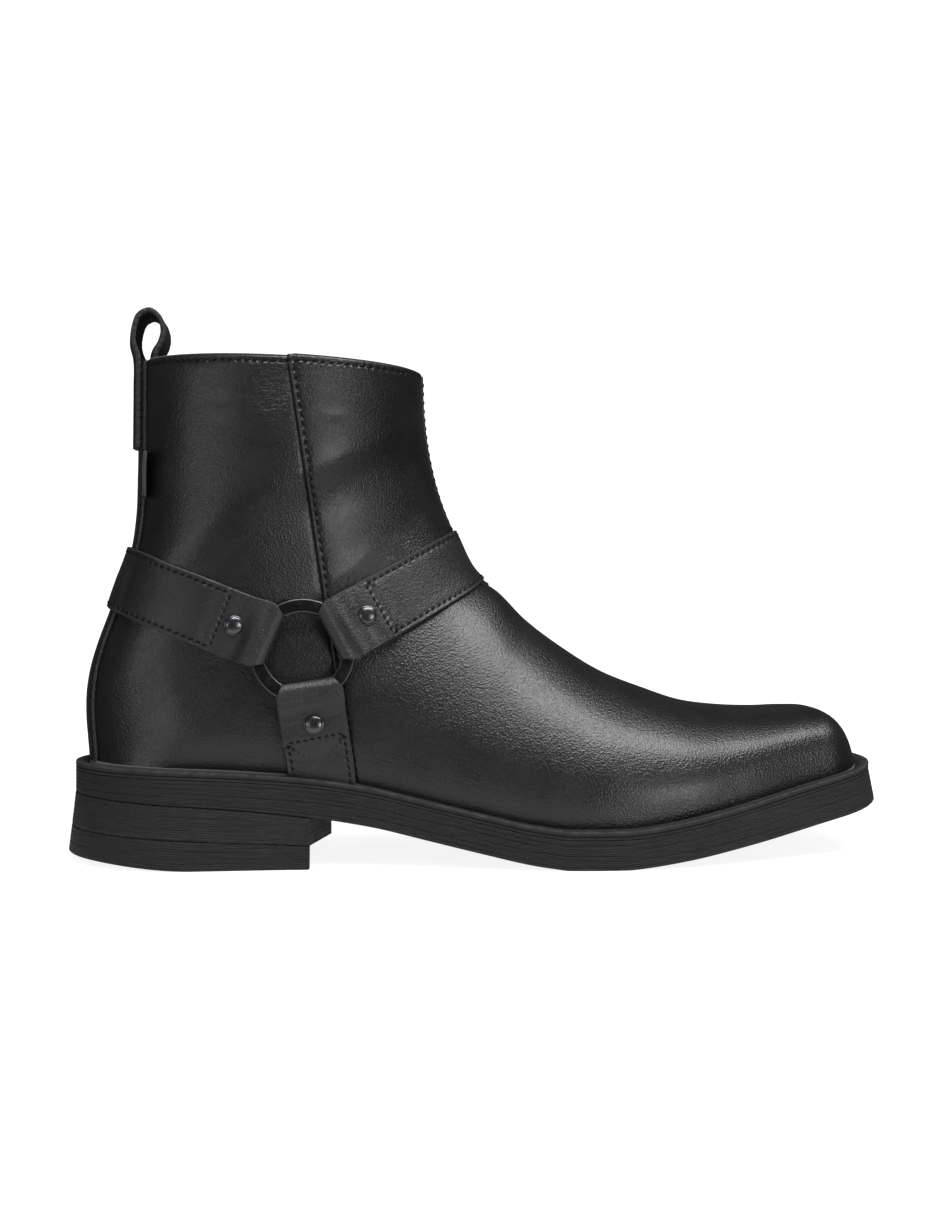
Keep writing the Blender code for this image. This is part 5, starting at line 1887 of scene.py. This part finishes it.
@dataclass
class Strap:
    """One strap of the harness, folded round the ring at one end or at both."""

    course: Course
    ends: tuple[RingSeat, ...]
    lift: Callable[[Grid], float]
    width: float = 0.024
    thickness: float = 0.0017
    lay: float = 0.0002
    fold: float = 0.0117
    rivet_reach: float = 0.0258
    seam_reach: float = 0.0325
    seam_tail: float = 0.009
    row_inset: float = 0.0019
    row_step: float = 0.0009

    def fold_line(self, seat: RingSeat) -> Grid:
        """The middle of the folded leather.

        Args:
            seat: the ring's place.

        Returns:
            Reach from the ring's centre, height, and how much the leather hugs the upper, in rows from the
            sewn length over the ring and back under it.
        """
        t = self.thickness
        over = seat.height + seat.thickness / 2 + 0.55 * t
        under = seat.height - seat.thickness / 2 - 0.55 * t
        rows = (
            (self.seam_reach + self.seam_tail, 0.5 * t, 1.0), (self.seam_reach + 0.003, 0.56 * t, 1.0),
            (self.seam_reach + 0.0012, 0.85 * t, 1.0), (self.seam_reach - 0.0008, 1.38 * t, 1.0),
            (self.seam_reach - 0.003, 1.5 * t, 1.0), (self.rivet_reach + 0.001, 1.48 * t, 1.0),
            (self.rivet_reach - 0.002, 1.1 * t + 0.12 * over, 1.0), (0.0217, 0.66 * t + 0.42 * over, 0.8),
            (0.02, 0.35 * t + 0.7 * over, 0.45), (0.0184, 0.07 * t + 0.92 * over, 0.15),
            (0.0166, over - 0.0003, 0.0), (0.0148, over - 0.0002, 0.0), (0.0134, over + 0.0001, 0.0),
            (0.0123, over - 0.0004, 0.0),
            (self.fold, 0.6 * over + 0.4 * seat.height, 0.0),
            (self.fold - 0.0001, seat.height - 0.0004, 0.0), (0.0121, under + 0.0004, 0.0),
            (0.0132, under, 0.0), (0.016, 0.6 * under + 0.4 * t, 0.4), (0.019, 0.5 * t, 1.0),
            (self.seam_reach - 0.0045, 0.5 * t, 1.0),
        )
        scale = np.array([1.0, 1.0, MM])
        line = rounded(np.array(rows) * scale, 8)
        plain = Line(line[:, :2])
        places = np.linspace(0.0, plain.length, int(plain.length / 0.00045))
        path = np.stack([np.interp(places, plain.run, column) for column in line.T], axis=1) / scale
        path[:, 2] = np.clip(path[:, 2], 0.0, 1.0)
        return path

    def half_width(self, reach: float | Grid) -> Grid:
        """Half width of the strap, cut slanting at its fold."""
        return self.width / 2 - 0.0026 * (1.0 - ramp(reach, 0.0108, 0.016)) ** 1.3

    def folded(self, seat: RingSeat) -> tuple[list, list, list]:
        """Rows of the outer and inner face at one ring.

        Args:
            seat: the ring's place.

        Returns:
            Outer rows, inner rows, and the reach of each.
        """
        direction = seat.toward(np.array(self.course.pitch))
        sideways = np.cross(seat.normal, direction)
        sideways *= 1.0 if np.dot(sideways, self.course.across) > 0 else -1.0
        path = self.fold_line(seat)
        ahead = unit(np.gradient(path[:, :2], axis=0))
        out = np.stack([ahead[:, 1], -ahead[:, 0]], axis=1)
        if out[0, 1] < 0:
            out = -out
        outer, inner, reaches = [], [], []
        turned = path[:, 0].argmin()
        for k, ((reach, height, laid), (tilt, up)) in enumerate(zip(path, out)):
            half = self.half_width(reach) - (0.0007 if k > turned else 0.0)
            for rows, face in ((outer, 0.5), (inner, -0.5)):
                row = []
                for share in ACROSS:
                    offset = face * self.thickness * (edge_round(share) if face > 0 else 1.0)
                    if face > 0 and k <= turned:
                        offset -= self.marks_depth(reach, share * half)
                    far, tall = reach + offset * tilt, height + offset * up
                    across = half * share
                    straight = seat.foot + far * direction + across * sideways + tall * seat.normal
                    if laid > 0.01:
                        run = max(far, 0.0)
                        run = run if seat is self.ends[0] else self.course.line.length - run
                        place, outward = self.course.at(run, across)
                        flush = place + (tall + self.lay + self.lift(place)) * outward
                        straight = (1 - laid) * straight + laid * flush
                    row.append(straight)
                rows.append(row)
            reaches.append(reach if k <= turned else -1.0)
        return outer, inner, reaches

    def marks_depth(self, reach: float, across: float) -> float:
        """How deep the leather is pressed by the rivet and pulled in by the stitches.

        Args:
            reach: distance from the ring's centre.
            across: distance from the strap's middle.

        Returns:
            The depth.
        """
        far = math.hypot(reach - self.rivet_reach, across)
        dent = 0.0005 * math.exp(-((far / 0.0046) ** 2))
        cross = 0.00022 * math.exp(-(((reach - self.seam_reach + 0.0012) / 0.0007) ** 2))
        edge = (self.width / 2 - self.row_inset - abs(across)) / 0.0007
        side = 0.00018 * math.exp(-(edge**2)) * float(ramp(reach, self.seam_reach - 0.002, self.seam_reach))
        soft = 0.00016 * math.sin(reach * 610.0 + across * 210.0) * float(1.0 - ramp(reach, 0.028, 0.034))
        return dent + cross + side + soft

    def rows(self) -> tuple[Grid, Grid, Grid, Grid]:
        """All rows of the strap from end to end.

        Returns:
            Outer and inner face, the distance along the course, and the reach from the nearer ring.
        """
        outer, inner, reach = (rows[::-1] for rows in self.folded(self.ends[0]))
        along = [max(r, 0.0) for r in reach]
        paired = len(self.ends) == 2
        start, length = self.seam_reach + self.seam_tail, self.course.line.length
        end = length - start if paired else length
        count = max(3, round((end - start) / self.row_step))
        for k in range(1, count if paired else count + 1):
            run = start + (end - start) * k / count
            near = min(run, length - run) if paired else run
            rows: tuple[list, list] = ([], [])
            for share in ACROSS:
                across = share * self.width / 2
                place, outward = self.course.at(run, across)
                base = self.lay + self.lift(place)
                thick = self.thickness * (0.5 + 0.5 * float(edge_round(share)))
                rows[0].append(place + (base + (thick - self.marks_depth(near, across))) * outward)
                rows[1].append(place + base * outward)
            outer.append(rows[0])
            inner.append(rows[1])
            along.append(run)
            reach.append(near)
        if paired:
            back, under, far = self.folded(self.ends[1])
            outer, inner = outer + back, inner + under
            along += [length - max(r, 0.0) for r in far]
            reach += far
        return np.array(outer), np.array(inner), np.array(along), np.array(reach)


@dataclass
class Harness(SewnMaker):
    """Rings, straps, rivets and their stitches on both sides."""

    back_pitch: float = math.radians(158.2)
    front_pitch: float = math.radians(28.5)
    low_pitch: float = math.radians(-80.8)
    backstay_half: float = 0.0145
    backstay_thickness: float = 0.0011
    seam_step: float = 0.001
    rivet_radius: float = 0.0036
    rivet_rise: float = 0.0019
    edge_stitch: Stitch = Stitch(0.0028, 0.0017, 0.0004, 0.00035, 0.00018)
    cross_stitch: Stitch = Stitch(0.0025, 0.0015, 0.0004, 0.0, 0.00018)
    seam_lap: float = 0.0012

    def over_backstay(self, place: Grid) -> float:
        """How far a strap is lifted where it crosses the backstay.

        Args:
            place: a place on the skin.

        Returns:
            The lift.
        """
        if place[0] > 0.3 * self.last.upper_length:
            return 0.0
        fall = ramp(abs(place[1]), self.backstay_half, self.backstay_half + 0.004)
        return self.backstay_thickness * float(1.0 - fall)

    def over_front(self, _place: Grid) -> float:
        """How far a strap is lifted by the overlapping front panel."""
        return self.seam_step

    def at_foot(self, place: Grid) -> bool:
        """Whether a strap has come down to the welt."""
        return place[2] <= float(self.last.top(place[0])) + 0.0012

    def dress(self, strap: Strap, word: str, rivets: str) -> None:
        """Makes one strap, sews it and sets its rivets.

        Args:
            strap: the strap.
            word: the word that ends its names.
            rivets: the same word for its rivets.
        """
        outer, inner, along, reach = strap.rows()
        if len(strap.ends) == 1:
            for rows in (outer, inner):
                rows[-1][:, 2] = self.last.top(rows[-1][:, 0]) - 0.0004
        reaches = reach[:, None]
        across = ACROSS[None, :] * strap.half_width(np.abs(reach))[:, None]
        edge = (np.abs(across) - (strap.width / 2 - strap.row_inset)) / MM
        edge = np.where(reaches > strap.seam_reach - self.seam_lap, edge, NO_ROW)
        cross = (reaches - strap.seam_reach + self.seam_lap) / MM
        beside = abs(edge) < abs(cross)
        # Painted highlights: the strap's edges and the fold roll beside the ring are marked lighter, standing
        # in for the light they catch.
        worn = np.maximum(ramp(abs(ACROSS), 0.93, 1.0) * 0.75, 0.35 * hump(reaches, 0.0125, 0.0016))
        shape = Shape()
        shape.sheet(
            outer, inner,
            row_across=np.where(beside, edge, cross),
            row_along=np.where(
                beside, along[:, None] / self.edge_stitch.pitch, across / self.cross_stitch.pitch
            ),
            pebble=0.45, crinkle=0.1 + 0.55 * hump(reaches, 0.0235, 0.006), worn=worn,
        )
        leather = [self.finishes.strap]
        self.bench.place("strap_dressed_" + word, shape, leather, "strap_leather", ["strap_" + word])
        self.sew(strap, outer, across, reach)
        self.fasten(strap, outer, reach, rivets)

    def sew(self, strap: Strap, outer: Grid, across: Grid, reach: Grid) -> None:
        """The edge rows and cross rows of a strap.

        Args:
            strap: the strap.
            outer: its outer face.
            across: distance of each point from its middle line.
            reach: distance of each row from the nearer ring.
        """
        index = np.arange(outer[..., 0].size).reshape(outer.shape[:2])
        normals = Skin.smooth_normals(outer.reshape(-1, 3), index).reshape(outer.shape)
        half = len(outer) // 2
        _, outward = self.skin.near(outer[half, MIDDLE])
        if np.dot(normals[half, MIDDLE], outward) < 0:
            normals = -normals
        seam, inset = strap.seam_reach - self.seam_lap, strap.width / 2 - strap.row_inset
        laid = np.flatnonzero(reach > seam)
        for side in Side:
            places, out = between(outer, normals, across, laid, np.full(len(laid), side.value * inset))
            self.sewing.row(places, out, self.edge_stitch)
        sewn = (reach[:-1] > 0.02) & (reach[1:] > 0.02)
        for r in np.flatnonzero(sewn & ((reach[:-1] - seam) * (reach[1:] - seam) <= 0)):
            places, out = between(outer, normals, across, [r] * 24, np.linspace(-inset, inset, 24))
            self.sewing.row(places, out, self.cross_stitch)

    def rivet(self, name: str, seat: Grid, normal: Grid) -> None:
        """A domed rivet with a thin rim.

        Args:
            name: the word that ends its solid's name.
            seat: the leather's place under its middle.
            normal: the leather's outward normal.
        """
        radius, rise = self.rivet_radius, self.rivet_rise
        profile = [(0.98, -0.3), (1.0, 0.1), (0.985, 0.22), (0.95, 0.3), (0.9, 0.33)]
        dome = np.radians(np.linspace(6.0, 89.5, 14))
        profile += [(0.9 * math.cos(a), 0.33 + 0.67 * math.sin(a) ** 0.9) for a in dome]
        side = unit(np.cross(normal, (1.0, 0.0, 0.3)))
        other = np.cross(normal, side)
        turns = np.linspace(0.0, math.tau, 49)[:-1]
        spokes = np.cos(turns)[:, None] * side + np.sin(turns)[:, None] * other
        rings = [seat + radius * r * spokes + rise * h * normal for r, h in profile]
        shape = Shape()
        index = shape.lattice(np.array(rings), wrap=True, worn=np.linspace(0.2, 0.0, len(rings))[:, None])
        shape.add_face(index[-1])
        shape.add_face(index[0][::-1])
        metal = [self.finishes.rivet]
        self.bench.place("rivet_dressed_" + name, shape, metal, "black_metal", ["rivet_" + name])

    def fasten(self, strap: Strap, outer: Grid, reach: Grid, word: str) -> None:
        """Sets a strap's rivets.

        Args:
            strap: the strap.
            outer: its outer face.
            reach: distance of each row from the nearer ring.
            word: the strap's word in the rivets' names.
        """
        cut = len(reach) // 2 if len(strap.ends) == 2 else len(reach)
        for seat, rows in zip(strap.ends, (range(cut), range(cut, len(reach)))):
            r = rows[int(np.argmin(abs(reach[rows] - strap.rivet_reach)))]
            ahead = outer[r + 2, MIDDLE] - outer[r - 2, MIDDLE]
            normal = unit(np.cross(outer[r, MIDDLE + 3] - outer[r, MIDDLE - 3], ahead))
            normal *= np.sign(np.dot(normal, seat.normal))
            self.rivet(f"{word}_{seat.side.name.lower()}", outer[r, MIDDLE] + 0.00005 * normal, normal)

    def build(self) -> None:
        """Makes the harness."""
        seats = {side: RingSeat(self.last, self.skin, side) for side in Side}
        pair = (seats[Side.LATERAL], seats[Side.MEDIAL])
        for side, seat in seats.items():
            word, metal = side.name.lower(), [self.finishes.ring]
            self.bench.place("ring_dressed_" + word, seat.ring(), metal, "black_metal", ["ring_" + word])
        ring_x = pair[0].foot[0]
        plans = (
            ("back", self.back_pitch, self.over_backstay, lambda p: p[1] > 0 and p[0] >= ring_x),
            ("front", self.front_pitch, self.over_front, lambda p: p[1] > 0 and p[0] <= ring_x),
        )
        for word, pitch, lift, stop in plans:
            self.dress(Strap(Course(self.skin, pair[0], pitch, stop), pair, lift), word, word)
        for side, seat in seats.items():
            course = Course(self.skin, seat, self.low_pitch, self.at_foot)
            self.dress(Strap(course, (seat,), self.over_front), "low_" + side.name.lower(), "low")


@dataclass
class PullLoop(SewnMaker):
    """The loop at the back of the collar, and the blank tab below it."""

    width: float = 0.022
    thickness: float = 0.0019
    height: float = 0.0196
    outer_leg: float = 0.031
    inner_leg: float = 0.02
    length: float = 0.104
    fray: float = 0.00022
    stitch: Stitch = Stitch(0.0032, 0.002, 0.00036, 0.0, 0.0002)
    row_inset: float = 0.0022
    backstay_thickness: float = 0.0011
    wall: float = 0.0022
    tab_height: float = 0.0165
    tab_reach: float = 0.0085
    tab_thickness: float = 0.0016
    tab_below: float = 0.034

    def loop(self) -> None:
        """The loop: down the outside, over, and down inside."""
        back_x, collar_z = self.last.back.at(1.0)
        outside = back_x - 0.0003 - self.backstay_thickness - self.thickness / 2
        inside = back_x + self.wall + 0.0003 + self.thickness / 2
        across = inside - outside
        shares = (
            (-0.05, 0.12), (-0.22, 0.35), (-0.02, 0.66), (0.44, 0.9), (1.02, 0.965),
            (1.58, 0.84), (1.74, 0.6), (1.5, 0.38), (1.12, 0.2), (1.02, 0.02),
        )
        turn = [(outside + a * across, collar_z + b * self.height) for a, b in shares]
        legs = []
        for length, sink in ((self.outer_leg, outside - back_x), (self.inner_leg, inside - back_x)):
            shares = [1.0 - share * length / self.last.upper_height for share in (1.0, 0.65, 0.3)]
            legs.append([(x + sink, z) for x, z in self.last.back.at(shares)])
        line = Line(rounded(legs[0] + turn + legs[1][::-1], 14)).at(np.linspace(0.0, 1.0, 190))
        ahead = unit(np.gradient(line, axis=0))
        normal = np.stack([-ahead[:, 1], ahead[:, 0]], axis=1)
        run = np.linspace(0.0, 1.0, len(line))
        grids = []
        for face in (0.5, -0.5):
            rows = []
            for k, (point, out) in enumerate(zip(line, normal)):
                row = []
                for share in ACROSS:
                    frayed = self.fray if abs(share) > 0.9 else 0.0
                    rough = frayed * math.sin(k * 1.9 + face) * math.sin(k * 0.7 + 2.0)
                    x, z = point + face * self.thickness * float(edge_round(share)) * out
                    fade = 1.0 - float(ramp(z, collar_z, collar_z + self.height))
                    y = share * (self.width / 2 + rough)
                    row.append((x + fade * self.skin.back_curve(y, min(z, collar_z)), y, z))
                rows.append(row)
            grids.append(np.array(rows))
        beside = (np.abs(ACROSS) * self.width / 2 - (self.width / 2 - self.row_inset)) / MM
        low = grids[0][:, MIDDLE, 2] < collar_z - 0.002
        shape = Shape()
        shape.sheet(
            *grids,
            row_across=np.where(low[:, None], beside, NO_ROW),
            row_along=(run * self.length / self.stitch.pitch)[:, None],
            pebble=0.6, crinkle=0.12, worn=ramp(abs(ACROSS), 0.9, 1.0) * 0.6,
        )
        self.bench.place("pull_loop_dressed", shape, [self.finishes.loop], "strap_leather", ["pull_loop"])
        legs_rows = np.flatnonzero(low & (run < 0.5))
        for side in Side:
            column = 4 if side is Side.LATERAL else len(ACROSS) - 5
            places = grids[0][legs_rows, column]
            out = np.tile(np.array([-1.0, 0.0, 0.05]), (len(places), 1))
            self.sewing.row(places, out, self.stitch)

    def tab(self) -> None:
        """The blank tab sewn in beside the backstay on the lateral side."""
        top = self.last.seat + self.last.upper_height - self.tab_below
        heights = self.last.back.at(np.linspace(0.4, 1.0, 60))
        grids = []
        shares = np.concatenate([np.linspace(0.0, 0.9, 12), [0.95, 0.98, 1.0]])
        for face in (1.0, 0.0):
            rows = []
            for k in np.linspace(0.0, 1.0, 34):
                z = top - self.tab_height * k
                x = np.interp(z, heights[:, 1], heights[:, 0])
                place, normal = self.skin.near((x, -0.0145, z))
                ahead = unit(np.cross(normal, (0.0, 0.0, 1.0)))
                ahead *= 1.0 if ahead[0] > 0 else -1.0
                soft = float(edge_round(2 * k - 1))
                row = []
                for share in shares:
                    reach = 0.0005 + share * self.tab_reach * (1.0 - 0.15 * k**2)
                    thick = self.tab_thickness * soft * float(edge_round(share))
                    curl = self.tab_reach * 0.3 * share**1.6 * (1.0 + 0.12 * math.sin(4.0 * k))
                    row.append(place + reach * ahead + (0.0005 + curl + face * thick) * normal)
                rows.append(row)
            grids.append(np.array(rows))
        # Painted highlight: the tab's free edge is marked lighter, standing in for the light on its near
        # edge.
        worn = ramp(shares, 0.93, 1.0) * 0.8
        shape = Shape()
        shape.sheet(*grids, row_across=NO_ROW, row_along=0.0, pebble=0.5, crinkle=0.1, worn=worn)
        self.bench.place("side_tab_dressed", shape, [self.finishes.strap], "strap_leather", ["side_tab"])

    def build(self) -> None:
        """Makes the loop and the tab."""
        self.loop()
        self.tab()


@dataclass(frozen=True)
class Lamp:
    """One soft light of the studio."""

    name: str
    place: Triple
    aim: Triple
    size: tuple[float, float]
    power: float


@dataclass
class Studio:
    """The pale floor and surround, the soft lights and the camera."""

    camera_place: Triple = (-0.063, -0.5663, 0.1005)
    camera_turn: float = math.radians(6.5)
    lens: float = 43.98
    shift: tuple[float, float] = (-0.0099, -0.0184)
    glow: float = 0.88
    surround_glow: float = 1.03
    dim: float = 0.06
    floor_half: float = 0.2
    far: float = 9.0
    lamps: tuple[Lamp, ...] = (
        Lamp("top_light", (0.22, -0.42, 0.98), (0.08, 0.0, 0.05), (1.0, 0.42), 23.0),
        Lamp("left_light", (-0.95, -0.85, 0.12), (-0.03, 0.0, 0.12), (0.75, 0.36), 3.0),
        Lamp("right_light", (0.66, -1.02, 0.06), (0.0, 0.0, 0.14), (0.46, 0.3), 5.8),
    )

    def paint(self, name: str, glow: float) -> Material:
        """The pale paint of the floor and the surround.

        Args:
            name: its name.
            glow: how much light it gives off.

        Returns:
            The material.
        """
        mix = Recipe(name)
        cloud = mix.noise(mix.place(), 900.0, 2.0, 0.5)
        mix.set_inputs(
            {
                "Base Color": mix.blend(cloud, (0.15, 0.15, 0.15), (0.18, 0.18, 0.18)),
                "Roughness": 0.85 + 0.05 * cloud,
                "Emission Color": (1.0, 1.0, 1.0),
                "Emission Strength": glow,
            }
        )
        return mix.material

    def stand(
        self, name: str, points: Sequence[Triple], faces: Sequence[Sequence[int]], glow: float
    ) -> bpy.types.Object:
        """Puts up one piece of the stage.

        Args:
            name: its name.
            points: its points.
            faces: its faces.
            glow: how much light it gives off.

        Returns:
            The new object.
        """
        mesh = bpy.data.meshes.new(name)
        mesh.from_pydata(points, [], faces)
        mesh.shade_smooth()
        mesh.materials.append(self.paint(name + "_paint", glow))
        piece = bpy.data.objects.new(name, mesh)
        bpy.context.scene.collection.objects.link(piece)
        return piece

    def floor(self) -> None:
        """A pale floor, and round it a pale surround that only lights softly."""
        square = [(-1, -1), (1, -1), (1, 1), (-1, 1)]
        points = [(x * self.floor_half, y * self.floor_half, 0.0) for x, y in square]
        self.stand("floor", points, [(0, 1, 2, 3)], self.glow)
        for reach, height in ((1.0, 0.0), (1.12, 0.15), (1.05, 0.7), (0.6, 1.1), (0.1, 1.25)):
            points += [(x * self.far * reach, y * self.far * reach, self.far * height) for x, y in square]
        faces = []
        for k in range(len(points) - 4):
            after = k + 1 if (k + 1) % 4 else k - 3
            faces.append((k, after, after + 4, k + 4))
        faces.append(tuple(range(len(points) - 4, len(points))))
        surround = self.stand("surround", points, faces, self.surround_glow)
        surround.visible_glossy = False

    def light(self) -> None:
        """The soft lights and the dim room that the leather mirrors."""
        for lamp in self.lamps:
            data = bpy.data.lights.new(lamp.name, "AREA")
            data.shape = "RECTANGLE"
            data.size, data.size_y = lamp.size
            data.energy = lamp.power
            holder = bpy.data.objects.new(lamp.name, data)
            holder.location = lamp.place
            aim = Vector(lamp.aim) - Vector(lamp.place)
            holder.rotation_euler = aim.to_track_quat("-Z", "Y").to_euler()
            bpy.context.scene.collection.objects.link(holder)
        world = bpy.data.worlds.new("room")
        bpy.context.scene.world = world
        world.use_nodes = True
        sky = world.node_tree.nodes["Background"]
        sky.inputs["Color"].default_value = (1.0, 1.0, 1.0, 1.0)
        sky.inputs["Strength"].default_value = self.dim

    def camera(self) -> None:
        """The camera at the photograph's place."""
        data = bpy.data.cameras.new("camera")
        data.lens = self.lens
        data.sensor_width = 36.0
        data.shift_x, data.shift_y = self.shift
        data.clip_start, data.clip_end = 0.01, 60.0
        camera = bpy.data.objects.new("camera", data)
        camera.location = self.camera_place
        camera.rotation_euler = (math.pi / 2, 0.0, -self.camera_turn)
        bpy.context.scene.collection.objects.link(camera)
        bpy.context.scene.camera = camera
        bpy.context.scene.view_settings.view_transform = "Standard"

    def build(self) -> None:
        """Sets up the studio."""
        self.floor()
        self.light()
        self.camera()


def corners(box: tuple[Vector, Vector]) -> list[list[float]]:
    """A box's two corners as plain lists."""
    return [list(map(float, corner)) for corner in box]


def main() -> None:
    """Builds the boot and the studio."""
    logging.basicConfig(level=logging.INFO, format="%(name)s: %(message)s")
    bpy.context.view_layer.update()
    last = Last()
    sole_low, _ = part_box("outsole")
    heel_low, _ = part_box("heel_lift")
    heel_tip = last.outline(Side.LATERAL, Heel.margin + Heel.flare, 32)[0][0]
    widest = last.outline(Side.LATERAL, Sole.margin, 32)[:, 1].min()
    bench = Bench((heel_low.x - heel_tip, sole_low.y - widest, 0.0))
    log.info("shift %s", bench.shift)
    finishes = Finishes()
    skin = Skin(last)
    sewing = Sewing(bench, finishes)
    strap_sewing = Sewing(bench, finishes)
    Sole(last, bench, finishes).build()
    Heel(last, bench, finishes).build()
    Upper(last, bench, finishes, skin, sewing).build()
    Backstay(last, bench, finishes, skin, sewing).build()
    PullLoop(last, bench, finishes, skin, sewing).build()
    Harness(last, bench, finishes, skin, strap_sewing).build()
    sewing.finish("upper_stitches", "upper_leather")
    strap_sewing.finish("strap_stitches", "strap_leather")
    Studio().build()


if __name__ == "__main__":
    main()
